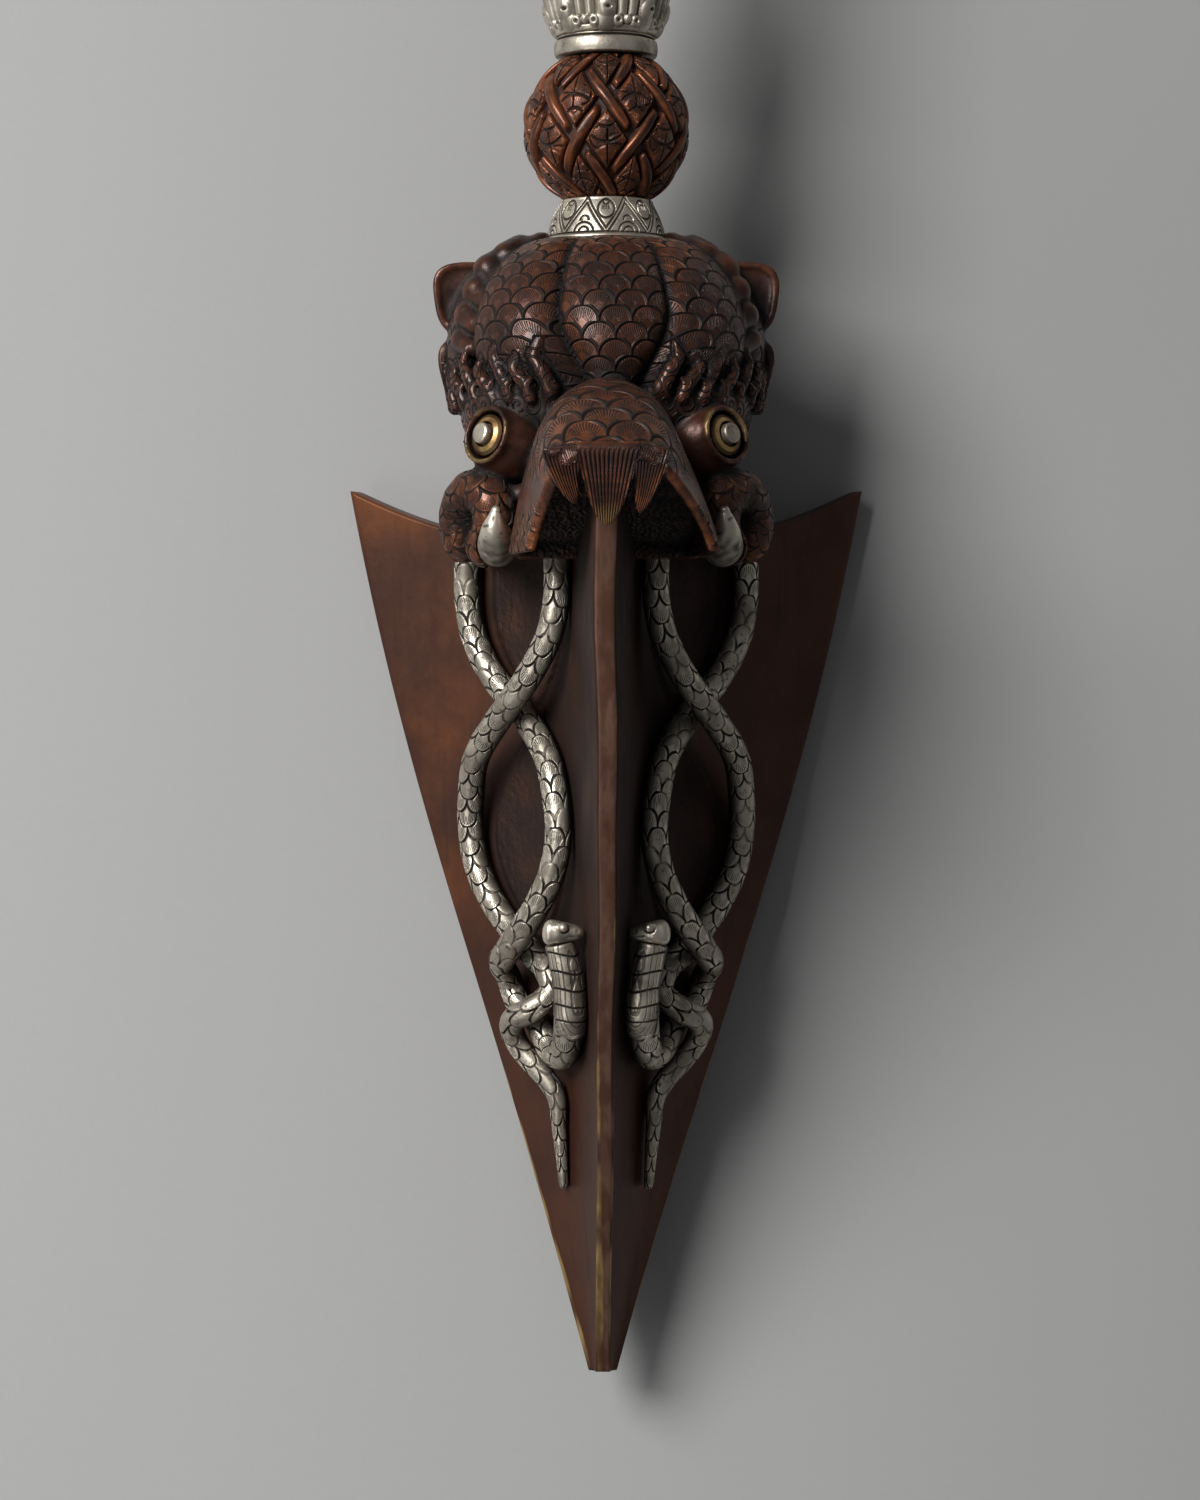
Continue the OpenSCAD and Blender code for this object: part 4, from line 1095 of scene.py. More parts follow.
def head_marks(h, e, clay, forms, points):
    """Pattern, kinds and age of each point of the head, with a painted highlight on the snout."""
    def near(width, *names):
        """1 on the named forms, falling to 0 at that width outside."""
        return np.max([form.near(points, width) for name in names for form, _ in forms[name]], axis=0)
    x, y, z = points.T
    number, across = lobe_place(h, x, y, z)
    radius = np.sqrt(x * x + y * y)
    half = radius * math.pi / h.lobes * lobe_share(h, z)
    heights = np.linspace(h.waist_mid, h.top, 80)
    run = np.concatenate([[0], np.cumsum(np.hypot(np.diff(heights), np.diff(skull_at(h, heights))))])
    up = np.interp(z, heights, run)
    u = across * half / SCALE_WIDE + number * 0.37
    v = up / SCALE_WIDE / ROW * 0.96 + number * 0.3
    scales = near(0.5, "skull") * ramp(z, h.skull_mid - 11, h.skull_mid - 7)

    snout = near(0.5, "snout") * ramp(y, -SNOUT_ROOT - 6, -SNOUT_ROOT - 11)
    on_snout = snout > 0.5
    u = np.where(on_snout, np.arctan2(x, larger(z - h.foot + 2, 0.1)) * SNOUT_WRAP / SCALE_WIDE, u)
    v = np.where(on_snout, (y + h.snout) * 1.05 / SCALE_WIDE / ROW + 0.45, v)
    from_mouth = mouth_form(h).distance(x, y, z)
    lip = ramp(from_mouth, 1.1, 0.5)
    above = ramp(y, -h.snout + 19, -h.snout + 15) * ramp(z, h.foot + 9.5, h.foot + 12)
    below = ramp(z, h.foot + 7.5, h.foot + 4.5) * ramp(y, -20, -26)
    scaled_part = larger(above, below) * (1 - lip)

    jaws = near(0.5, "jaws")
    on_jaw = (jaws > 0.5) & ~on_snout
    hub, out, across = jaw_frame(h)
    off = columns_of(np.abs(x), y, z) - hub
    lift = off @ out + JAW_SUNK
    sideways = off @ across
    around = np.arctan2(sideways, off[:, 2])
    tube = np.arctan2(lift, np.hypot(sideways, off[:, 2]) - JAW_RING)
    u = np.where(on_jaw, tube * JAW_TUBE / SCALE_WIDE + 0.25, u)
    v = np.where(on_jaw, np.abs(around - 0.4) * JAW_WRAP / SCALE_WIDE / ROW, v)

    curls = near(0.9, "brow", "flames") * (1 - snout)
    eyes, ears, mane, fringe = near(0.6, "eyes"), near(0.4, "ears"), near(0.5, "mane"), near(0.4, "fringe")
    flutes = np.zeros(len(points))
    for (form, _), ribs in zip(forms["fringe"], (6.5, 4.8, 4.8)):
        flutes = np.where(form.near(points, 0.5) > 0.5, form.across(x, z) * ribs, flutes)
    scales = np.where(on_snout, scaled_part, np.where(on_jaw, jaws, scales))
    scales = scales * (1 - curls) * (1 - eyes) * (1 - ears) * (1 - mane) * (1 - fringe)
    on_curl = curls > 0.4
    u = np.where(on_curl, np.arctan2(x, -y) * radius / CURL_WIDE, u)
    v = np.where(on_curl, z / CURL_WIDE, v)
    curls = curls * (1 - eyes) * ramp(z, h.skull_mid - 1.0, h.skull_mid - 3.5)

    in_mouth = ramp(from_mouth, 0.7, 0.3) * ramp(rim_at(h, z) + y, 0.5, 1.6) * (1 - fringe)
    fine = clay.hollows(points, 3)
    broad = clay.hollows(points, 16)
    soft = near(0.9, "flames", "ears", "mane")
    front = ramp(y, -h.snout + 5, -h.snout + 3) * ramp(z, h.snout_edge - 4, h.snout_edge - 2)
    front = front * ramp(z, h.snout_edge + 0.9, h.snout_edge + 0.1)
    # The snout's scales get more wear: rubbing, and also a painted warm highlight on the snout's dome.
    wear = held(0.40 + fine * 4.0 + broad * 0.55 + 0.22 * scaled_part * snout - 0.4 * lip)
    wear = wear * (1 - in_mouth) * (1 - 0.4 * soft) * (1 - 0.55 * eyes) * (1 - 0.75 * front)
    dirt_and_shade = held(-fine * 11 - broad * 1.3 - 0.14)
    dirt_and_shade = larger(dirt_and_shade, in_mouth * (0.5 + 0.35 * wander(points, 3.0)))
    rims = np.zeros(len(points))
    for side in (-1, 1):
        aim = eye_line(e, side)
        off = points - [0, 0, e.root]
        along = off @ aim
        away = np.linalg.norm(off - along[:, None] * aim, axis=1)
        ring = ramp(np.abs(away - e.rim + 0.55), 0.6, 0.2) * ramp(np.abs(along - e.out), 1.0, 0.5)
        rims = larger(rims, ring)
        dirt_and_shade = np.where((away < e.rim - 0.9) & (np.abs(along - e.out) < 1.5), 1.0, dirt_and_shade)
    tip = ramp(np.linalg.norm(points - [0, -h.snout, h.fringe], axis=1), 4.0, 1.0)
    polish = larger(rims * np.clip(0.08 + 0.9 * wander(points, 3.0), 0, 0.55), tip * 0.5)
    fluted = fringe * ramp(z, h.snout_edge - 0.2, h.snout_edge - 1.0)
    return carved(len(points), pattern=(u, v, flutes), kinds=(scales, curls, in_mouth),
                  age=(wear, dirt_and_shade, polish), carved=(0, fluted, 0))


class MakeHead(bpy.types.Operator):
    """Model the sea monster's head"""
    bl_idname = "dagger.head"
    bl_label = "Head"

    def execute(self, context):
        h, e = mm("head"), mm("eyes")
        clay, forms = shape_head(h, e, mm("blade"))
        points, faces = thinned(*clay.skin(), 0.74)
        make_piece("makara_head", "copper", points, faces, head_marks(h, e, clay, forms, points))
        return {"FINISHED"}


# Turned and carved pieces

def carved(count, **marks):
    """Full sets of marks for that many points."""
    return {key: columns_of(*(np.broadcast_to(v, count) for v in values)) for key, values in marks.items()}


def lathe(profile, columns, bore, flip_at=None):
    """Points and faces of a turned piece. profile goes up its outside as radius and height, one row a ring.

    A radius may be a row of values, one a column. flip_at mirrors the piece at a height.
    """
    around = FRONT + np.arange(columns) * 2 * math.pi / columns
    rings = [(bore, profile[0][1])] + list(profile) + [(bore, profile[-1][1])]
    points = []
    for radius, height in rings:
        z = np.broadcast_to(height, columns)
        points.append(np.stack([radius * np.cos(around), radius * np.sin(around), z], axis=1))
    faces = ring_faces(len(rings) + 1, columns) % (len(rings) * columns)
    points = np.concatenate(points)
    if flip_at is not None:
        points[:, 2] = 2 * flip_at - points[:, 2]
        faces = faces[:, ::-1]
    return points, faces


def with_bore(values, shape):
    """Marks of the outer rings as one row, with 0 for the bore's two rings."""
    edge = np.zeros(shape[1])
    return np.concatenate([edge, np.broadcast_to(values, shape).ravel(), edge])


def hollow_dirt(height, depth):
    """Dirt where a height field, one row a ring, is sunk below its neighbours, and wear where it is above."""
    soft = height
    for _ in range(6):
        soft = (np.roll(soft, 1, 1) + np.roll(soft, -1, 1) + 2 * soft) / 4
        soft[1:-1] = (soft[:-2] + soft[2:] + 2 * soft[1:-1]) / 4
    return held((soft - height) / depth), held((height - soft) / depth)


ENGRAVED = 0.12


def stroke(distance, half):
    """1 inside a cut of that half width, falling to 0 over a short way."""
    return held(1.4 - np.abs(distance) / half)


def make_turned(node, slot, r, z, lift, cut, flip_at=None, pattern=(0, 0, 0), scales=0, clean=0, sunk=-9.0):
    """A turned piece whose outside is raised by lift and engraved by cut, both one row a ring.

    r and z are each ring's radius and height. Below the lift sunk the piece is black; clean keeps dirt off.
    """
    lift, cut = np.broadcast_arrays(lift, cut)
    shape = lift.shape
    profile = list(zip(r + lift - ENGRAVED * cut, z[:, 0]))
    points, faces = lathe(profile, shape[1], mm("handle").bore, flip_at)
    dirt_and_shade, worn = hollow_dirt(lift, 0.25)
    dirt_and_shade = larger(dirt_and_shade * (1 - clean), 0.9 * ramp(lift, sunk + 0.4, sunk))
    patches = 0.5 + 0.5 * wander(points[shape[1]:-shape[1]], 3.0).reshape(shape)
    wear = held(patches * 0.8 + worn * 1.2 + clean * 0.25)
    marks = {"pattern": pattern, "kinds": (scales, 0, cut if slot == "silver" else 0), "age": (wear, dirt_and_shade, 0),
             "carved": (cut, 0, 0)}
    marks = {key: [with_bore(v, shape) for v in values] for key, values in marks.items()}
    make_piece(node, slot, points, faces, carved(len(points), **marks))


def grid(rows, columns):
    """Share of the height, one row a ring, and turns round the axis from the front, one column each."""
    return np.linspace(0, 1, rows)[:, None], (np.arange(columns) / columns)[None, :]


# Collars

COLLAR_TALL = 6.6
TRIANGLES = 8


def collar_parts(s):
    """Radius, share of the height, relief and engraving of a bell collar, wide end first."""
    t, turn = grid(70, 440)
    r = s.collar + (s.collar_top - s.collar) * t + 0.35 * np.sin(math.pi * t)
    lip = 0.22 * ramp(t, 0.10, 0.05) + 0.1 * ramp(t, 0.94, 0.97)
    z = (t - 0.13) * COLLAR_TALL
    wide = 2 * math.pi * 8.6 / TRIANGLES
    x = near_whole(turn * TRIANGLES) * wide
    between = near_whole(turn * TRIANGLES + 0.5) * wide
    high = 0.80 * COLLAR_TALL
    leg = (np.abs(x) / (wide / 2) * high - z) * math.cos(math.atan2(high, wide / 2))
    inside, outside = leg < -0.35, leg > 0.35
    inner = np.hypot(x * 0.85, (z - 3.7) * 0.75)
    ticks = stroke(near_whole(x / 0.34) * 0.34, 0.07) * (np.abs(z - 3.9) < 0.34) * (np.abs(x) < 0.62)
    cuts = [stroke(leg - 0.28, 0.13), stroke(leg + 0.28, 0.13), stroke(inner - 1.15, 0.11) * inside,
            stroke(np.hypot(x, z - 4.9) - 0.5, 0.1) * (z < 4.9) * inside, ticks]
    for lift, radius in ((0.0, 1.5), (0.0, 0.75), (1.9, 0.7)):
        cuts.append(stroke(np.hypot(between, z - lift) - radius, 0.11) * outside * (z > lift - 0.1))
    cut = larger(most(*cuts) * ramp(t, 0.11, 0.13), stroke((t - 0.115) * COLLAR_TALL, 0.1))
    return r, t, lip, cut


class MakeCollars(bpy.types.Operator):
    """Turn and engrave both bell collars"""
    bl_idname = "dagger.collars"
    bl_label = "Collars"

    def execute(self, context):
        r, t, lip, cut = collar_parts(mm("handle"))
        low, top = span("lower_collar")[0], span("upper_collar")[1]
        make_turned("lower_collar", "silver", r, low + t * COLLAR_TALL, lip, cut)
        make_turned("upper_collar", "silver", r, top + t * COLLAR_TALL, lip, cut, top)
        return {"FINISHED"}


# Knots

STRAND_RISE = 1.3
KNOT_SCALE = 4.42  # width of a scale on the pads between the strands


def knot_parts(s, tall):
    """Outline, relief and marks of a knot of strands that pass over and under each other."""
    t, turn = grid(158, 600)
    end = math.asin(min(0.95, tall / 2 / s.knot))
    rise = end * (2 * t - 1)
    p = turn * s.strands
    q = 2 * t - 0.26
    a, b = p + q, p - q
    unit = 2 * math.pi * s.knot / s.strands * 0.74
    half = s.strand / 2

    def strand(across, along, sign):
        number = np.round(across)
        wave = sign * np.cos(math.pi * (along + number))
        off = np.abs(across - number) * unit * (0.55 + 0.45 * np.cos(rise))
        width = half * (0.62 + 0.38 * held(0.75 + wave))
        top = held(1 - (off / width) ** 3.2) ** 0.6 * ramp(wave, -0.78, -0.45)
        return off, top * (STRAND_RISE + 0.3 * wave) - STRAND_RISE, top
    off_a, high_a, top_a = strand(a, b, 1)
    off_b, high_b, top_b = strand(b, a, -1)
    cell = smaller(off_a, off_b)
    pad = held((cell - half) / 2.2)
    pad_high = -STRAND_RISE + 0.85 * ramp(cell, half + 0.02, half + 0.4) + 0.62 * np.sqrt(pad)
    lift = most(high_a, high_b, pad_high)
    on_pad = ramp(cell, half + 0.25, half + 0.6) * (larger(top_a, top_b) < 0.2)
    across = (a - np.floor(a) + b - np.floor(b) - 1) * unit * 0.7
    up = (a - np.floor(a) - b + np.floor(b)) * unit * 0.7
    flip = 1 - 2 * ((np.floor(a) + np.floor(b)) % 2)
    from_foot = np.hypot(across, up * flip + 4.0)
    cut = most(stroke(from_foot - 2.5, 0.15), stroke(from_foot - 4.3, 0.15),
               stroke(np.hypot(across * flip - 1.5, up - 0.2) - 1.3, 0.13) * (np.abs(across) > 1.3),
               stroke(across + 0.25 * flip, 0.11) * (from_foot > 2.5),
               stroke(up - 0.35 * flip + 0.1 * across, 0.11) * (across * flip < 0.4))
    edge = ramp(smaller(t, 1 - t), 0.0, 0.04)
    pattern = ((a + b) * unit / KNOT_SCALE / 2, (a - b) * unit / KNOT_SCALE / ROW, 0)
    r, z = s.knot * np.cos(rise), tall / 2 * (1 + np.sin(rise) / math.sin(end))
    return r, z, -1.0 + (lift + 1.0) * edge, pattern, on_pad * edge, cut * on_pad * edge


class MakeKnots(bpy.types.Operator):
    """Carve both knots of interlaced strands"""
    bl_idname = "dagger.knots"
    bl_label = "Knots"

    def execute(self, context):
        low, high = span("lower_knot")
        r, z, lift, pattern, pads, cut = knot_parts(mm("handle"), high - low)
        for node, flip_at in (("lower_knot", None), ("upper_knot", handle_middle())):
            make_turned(node, "copper", r, low + z, lift, cut, flip_at, pattern, pads * 0.3, pads)
        return {"FINISHED"}


# Neck rings, lotus cups, grips and band

def dome(dx, dz, radius, height):
    """A round boss."""
    return height * np.sqrt(held(1 - (dx / radius) ** 2 - (dz / radius) ** 2))


def end_lines(t, tall, inset):
    """A line engraved near each end."""
    return larger(stroke((t - inset) * tall, 0.12), stroke((t - 1 + inset) * tall, 0.12))


def neck_ring(s, tall):
    """Radius, height, relief, engraving and sunk level of a neck ring."""
    t, turn = grid(40, 220)
    bulge = np.sqrt(held(1 - ((t - 0.4) / 0.42) ** 2))
    r = s.ring - 0.5 + 0.5 * bulge ** 0.7
    return r, t * tall, 0.06 * np.sin(turn * 2 * math.pi * 3), stroke((t - 0.86) * tall, 0.16), -9.0


def lotus_cup(s, tall):
    """The same of a lotus cup: a smooth foot, scrolled sepals with drilled eyes and rods above."""
    t, turn = grid(150, 616)
    z = t * tall
    flare = held(z / (tall * 0.75))
    r = s.cup_foot + (s.cup - s.cup_foot) * flare ** 0.8 - 0.6 * ramp(t, 0.86, 1.0)
    part = turn * s.sepals
    wide = 2 * math.pi * 9.4 / s.sepals
    x = near_whole(part) * wide
    side = np.abs(x)
    eyes = np.exp(-((x - 0.35) ** 2 + ((z - 3.6) * 1.6) ** 2) / 0.14)
    eyes = held(eyes + 0.8 * np.exp(-((side - 2.1) ** 2 + (z - 1.6) ** 2) / 0.1))
    rods = np.abs(np.cos(math.pi * (turn * s.petals + 0.5))) ** 0.45
    rod_top = ramp(z, tall - 0.4, tall - 1.6)
    lift = most(dome(x, (z - 3.5) * 0.72, 1.55, 1.15), dome(side - 2.0, z - 1.5, 1.1, 0.95),
                dome(x * 0.75, (z - 1.6) * 0.8, 1.5, 0.85),
                dome(near_whole(part + 0.5) * wide, z - 1.8, 0.8, 0.95),
                (0.55 * rods * rod_top - 0.4 * (1 - rods)) * ramp(z, 1.6, 2.8),
                0.4 * ramp(z, 0.05, 0.3) * ramp(z, 1.3, 0.8)) - 0.55 * eyes
    lip = 0.35 * ramp(z, tall - 1.9, tall - 1.3) * ramp(z, tall - 0.2, tall - 0.6)
    return r, z, lift + lip - 0.25, eyes * 0.9, -0.35


def fluted_grip(s, tall):
    """The same of one half of the waisted grip, with twelve flutes."""
    t, turn = grid(110, 432)
    middle = np.sin(math.pi * held((t - 0.08) / 0.84))
    r = s.grip_foot - (s.grip_foot - s.grip) * middle
    wave = np.abs(np.sin(math.pi * turn * 12))
    lift = (wave ** 0.6 - 1) * 0.55 * ramp(middle, 0.1, 0.35)
    leaf = stroke(wave * 2.4 - 1.3 * (1 - np.abs(t - 0.5) * 2), 0.12) * ramp(middle, 0.15, 0.3) * 0.6
    return r, t * tall, lift, larger(end_lines(t, tall, 0.05), leaf), -9.0


def twisted_band(s, tall):
    """The same of the middle band with its twist of rope."""
    t, turn = grid(70, 440)
    bead = np.sqrt(held(1 - ((t - 0.5) / 0.36) ** 2))
    twist = np.abs(np.sin(math.pi * (turn * 16 + t * 2.4))) ** 0.7
    lift = (twist - 1) * 0.5 * ramp(bead, 0.1, 0.5)
    return s.band - 1.1 + 1.0 * bead, t * tall, lift, end_lines(t, tall, 0.1), -9.0


class MakeGrip(bpy.types.Operator):
    """Turn the neck rings, lotus cups, grip halves and middle band"""
    bl_idname = "dagger.grip"
    bl_label = "Grip"

    def execute(self, context):
        s, middle = mm("handle"), handle_middle()
        for shaped, nodes, slot in ((neck_ring, ("lower_neck_ring", "upper_neck_ring"), "silver"),
                                    (lotus_cup, ("lower_lotus_cup", "upper_lotus_cup"), "silver"),
                                    (fluted_grip, ("lower_grip", "upper_grip"), "silver"),
                                    (twisted_band, ("grip_band",), "copper")):
            low, high = span(nodes[0])
            r, z, lift, cut, sunk = shaped(s, high - low)
            for node, flip_at in zip(nodes, (None, middle)):
                make_turned(node, slot, r, low + z, lift, cut, flip_at, sunk=sunk)
        return {"FINISHED"}


# The blade

FACE_COLUMNS = 130
EDGE_COLUMNS = 9
PER_FIN = FACE_COLUMNS + EDGE_COLUMNS
RINGS = 230
TOP_RINGS = 14  # how many of them lie close together at the shoulders


def face_shifts(s):
    """How far the braid stands off each face's middle, from the right face on."""
    return s.shift, 0.0, -s.shift


def boss_mask(s, u, z, shift, grow=0.0):
    """1 on the rough boss between the strands of a braid's upper loops, 0 away from it; grow widens it."""
    first = s.cross_1 + (s.cross_1 - s.cross_2) / 2
    phase = np.interp(z, [s.cross_2, s.cross_1, first], [1.5 * math.pi, 0.5 * math.pi, 0.0])
    half = s.loop * np.abs(np.cos(phase)) ** 0.8 - s.body - 0.6 + grow
    return ramp(half - np.abs(u - shift), -0.25, 0.35) * (z > s.cross_2)


def shape_blade(b, s):
    """Points of the three fins with their shoulders, one row a ring from the tip up."""
    w = np.linspace(-1, 1, FACE_COLUMNS)
    w = np.sin(w * math.pi / 2) * 0.5 + w * 0.5  # closer together near both ends
    rise = np.append(np.linspace(0, 0.96, RINGS - TOP_RINGS), np.linspace(0.962, 1, TOP_RINGS))[:, None]
    top_z = np.full(FACE_COLUMNS, b.height)
    for _ in range(8):
        u = face_end(b, top_z) * w
        along = face_at(b, u, top_z) * math.cos(SIXTH) + np.abs(u) * math.sin(SIXTH)
        top_z = shoulder_at(b, along)
    z_face = rise * top_z
    u_face = face_end(b, z_face) * w
    n_face = face_at(b, u_face, z_face)
    z_edge = rise * top_z[0]
    lean = np.linspace(-1, 1, EDGE_COLUMNS + 2)[1:-1]
    parts = []
    for k, shift in enumerate(face_shifts(s)):
        angle = FRONT + k * 2 * SIXTH
        parts.append(columns_of(*turned(angle, fin_at(b, z_edge), edge_at(b, z_edge) / 2 * lean), z_edge))
        boss = boss_mask(s, u_face, z_face, shift)
        parts.append(columns_of(*turned(angle + SIXTH, n_face + 0.5 * boss, u_face), z_face))
    body = np.concatenate(parts, axis=1)

    # The front fin wavers and leans a little, as a hand-made one does
    z = body[..., 2]
    ahead = ramp(-body[..., 1], 6, 20)
    body[..., 0] += ahead * (0.2 * np.sin(z / 11) + 0.12 * np.sin(z / 5.3 + 1)) - 0.55 * ramp(z, 60, 0)

    # The fins' corners are worn round
    total = body.shape[1]
    corner = np.zeros(total)
    for k in range(FINS):
        for j in (k * PER_FIN, k * PER_FIN + EDGE_COLUMNS - 1):
            corner[(np.arange(-3, 4) + j) % total] = 1
    for _ in range(5):
        even = (np.roll(body, 1, axis=1) + np.roll(body, -1, axis=1) + 2 * body) / 4
        body = body + (even - body) * corner[None, :, None]
    return body


def blade_marks(b, s, body):
    """Age, painted light and tints of the blade's points: worn corners, darker round the braids and just
    under the head, and painted shade beside the front fin's root.
    """
    rings, total, _ = body.shape
    points = body.reshape(-1, 3)
    x, y, z = points.T
    on_edge = np.tile(np.arange(total) % PER_FIN < EDGE_COLUMNS, rings)
    radius = np.hypot(x, y)
    corner_far = np.full(len(points), 99.0)
    boss, near_black = np.zeros((2, len(points)))
    for k, shift in enumerate(face_shifts(s)):
        r, t = facing(FRONT + k * 2 * SIXTH, x, y)
        far = np.hypot(fin_at(b, z) - r, np.abs(t) - edge_at(b, z) / 2)
        corner_far = np.where(r > 0, smaller(corner_far, far), corner_far)
        n, u = facing(FRONT + (2 * k + 1) * SIXTH, x, y)
        on_this = n > face_at(b, u, z) - 1.2
        boss = larger(boss, np.where(on_this, boss_mask(s, u, z, shift), 0))
        under = 0.6 * ramp(np.abs(u - shift), 8.5, 4.5) * ramp(z, s.cross_3 - 14, s.cross_3 - 4)
        under = larger(under * ramp(z, s.cross_2 + 4, s.cross_2), boss_mask(s, u, z, shift, 1.7))
        near_black = larger(near_black, np.where(on_this, under, 0))
    rough = wander(points, 6.0)
    low = ramp(z, 60, 8)
    wear = ramp(corner_far, 0.55 + 0.7 * low, 0.12) * held(0.52 + 0.4 * low + 0.8 * rough)
    # Painted shade: the faces are painted dark in the corners beside the front fin's root, where shade falls.
    painted_shade_beside_fin = ramp(np.abs(x), 16, 8) * ramp(y, -2, -6) * ramp(z, 36, 62)
    dirt_and_shade = most(np.clip(near_black * (0.7 + 0.5 * rough), 0, 0.85),
                0.8 * ramp(z, b.shoulder - 8, b.shoulder + 1) * ramp(radius, 30, 18),
                ~on_edge * painted_shade_beside_fin * np.clip(0.76 + 0.3 * rough, 0, 0.92))
    # Painted light: an orange glow on the outer parts of the blade's left side, where the key lamp falls.
    painted_glow = ramp(radius, 14, 36) * ramp(z, 25, 60) * (0.6 + 0.6 * wander(points, 26.0)) * ramp(x, 8, -20)
    # The flat fin edges are rubbed paler and carry a painted sheen.
    return carved(len(points), age=(wear, dirt_and_shade, boss), tints=(painted_glow, on_edge * (0.75 + 0.5 * rough), 0))


def blade_faces(rings, total):
    """Quads round the blade, the flat tip, and strips over the top from the middle of each fin's edge in."""
    faces = ring_faces(rings, total).tolist()
    faces.append(list(range(total))[::-1])
    last = (rings - 1) * total
    middle = FACE_COLUMNS // 2
    hub = []
    for k in range(FINS):
        centre = k * PER_FIN + EDGE_COLUMNS // 2
        for j in range(EDGE_COLUMNS // 2 + middle):
            right, right_next = last + (centre + j) % total, last + (centre + j + 1) % total
            left, left_next = last + (centre - j) % total, last + (centre - j - 1) % total
            faces.append([right, right_next, left_next, left] if j else [right, right_next, left_next])
        first = k * PER_FIN + EDGE_COLUMNS + middle
        hub += [last + (first - 1) % total, last + first % total]
    return faces + [hub]


class MakeBlade(bpy.types.Operator):
    """Model the three-finned blade"""
    bl_idname = "dagger.blade"
    bl_label = "Blade"

    def execute(self, context):
        b, s = mm("blade"), mm("serpents")
        body = shape_blade(b, s)
        rings, total, _ = body.shape
        marks = blade_marks(b, s, body)
        make_piece("blade", "blade_copper", body.reshape(-1, 3), blade_faces(rings, total), marks)
        return {"FINISHED"}


# Serpents and other round runs

def modifier_mesh(piece, tree, values):
    """Runs a node tree on a piece, and leaves the plain mesh that it makes."""
    modifier = piece.modifiers.new("nodes", "NODES")
    modifier.node_group = tree
    for item in tree.interface.items_tree:
        if item.item_type == "SOCKET" and item.in_out == "INPUT" and item.name in values:
            modifier[item.identifier] = values[item.name]
    return plain_mesh(piece)


def plain_mesh(piece):
    """The mesh that a piece's modifiers make; the piece itself goes."""
    piece.update_tag()
    bpy.context.view_layer.update()
    ready = piece.evaluated_get(bpy.context.evaluated_depsgraph_get())
    mesh = bpy.data.meshes.new_from_object(ready)
    bpy.data.objects.remove(piece)
    return mesh


def thinned(points, faces, share):
    """A mesh with that share of its triangles, fewest where it is smooth."""
    block = to_mesh("clay", points, faces, None)
    thin = block.modifiers.new("thin", "DECIMATE")
    thin.ratio = share
    points, faces, _ = gather(plain_mesh(block))
    return points, faces


def path_curve(name, path):
    """A curve object through points of x, y, z and radius, in millimetres."""
    curve = bpy.data.curves.new(name, "CURVE")
    curve.dimensions = "3D"
    spline = curve.splines.new("POLY")
    spline.points.add(len(path) - 1)
    for point, (x, y, z, r) in zip(spline.points, path * 0.001):
        point.co = (x, y, z, 1)
        point.radius = r
    holder = bpy.data.objects.new(name, curve)
    bpy.context.scene.collection.objects.link(holder)
    return holder


def start_group(name, sockets):
    """A new geometry node group with its inputs: the group, its tree and its inputs' wires by name."""
    group = bpy.data.node_groups.new(name, "GeometryNodeTree")
    new_socket = group.interface.new_socket
    new_socket("Geometry", in_out="INPUT", socket_type="NodeSocketGeometry")
    for label, (kind, default) in sockets.items():
        new_socket(label, in_out="INPUT", socket_type="NodeSocket" + kind).default_value = default
    new_socket("Material", in_out="INPUT", socket_type="NodeSocketMaterial")
    new_socket("Geometry", in_out="OUTPUT", socket_type="NodeSocketGeometry")
    tree = Tree(group)
    inputs = group.nodes.new("NodeGroupInput")
    return group, tree, {socket.name: Wire(tree, socket) for socket in inputs.outputs if socket.name}


def end_group(group, tree, geometry, metal):
    """Makes the geometry real, gives it its material and sends it out."""
    geometry = tree.node("GeometryNodeRealizeInstances", None, {"Geometry": geometry})
    geometry = tree.node("GeometryNodeSetMaterial", None, {"Geometry": geometry, "Material": metal})
    group.links.new(geometry.socket, group.nodes.new("NodeGroupOutput").inputs[0])
    return group


def kept_value(tree, geometry, name, value):
    """A geometry that keeps a value of its points, and that value."""
    keeper = tree.tree.nodes.new("GeometryNodeCaptureAttribute")
    keeper.capture_items.new("FLOAT", name)
    tree.tree.links.new(geometry.socket, keeper.inputs["Geometry"])
    tree.tree.links.new(value.socket, keeper.inputs[name])
    return Wire(tree, keeper.outputs["Geometry"]), Wire(tree, keeper.outputs[name])


def store(tree, geometry, name, value):
    """The geometry with a vector stored on its points."""
    return tree.node("GeometryNodeStoreNamedAttribute", {"data_type": "FLOAT_VECTOR", "domain": "POINT"},
                     {"Geometry": geometry, "Name": name, "Value": value})


def ring_tree():
    """The node tree that sets copies of a piece round the axis."""
    group, tree, given = start_group("ring_of_copies", {"Count": ("Int", 4), "Start": ("Float", 0.0)})
    spots = tree.node("GeometryNodePoints", None, {"Count": given["Count"]})
    angle = tree.node("GeometryNodeInputIndex") / given["Count"] * (2 * math.pi) + given["Start"]
    turn = tree.node("ShaderNodeCombineXYZ", None, {2: angle})
    ring = tree.node("GeometryNodeInstanceOnPoints", None,
                     {"Points": spots, "Instance": given["Geometry"], "Rotation": turn})
    return end_group(group, tree, ring, given["Material"])


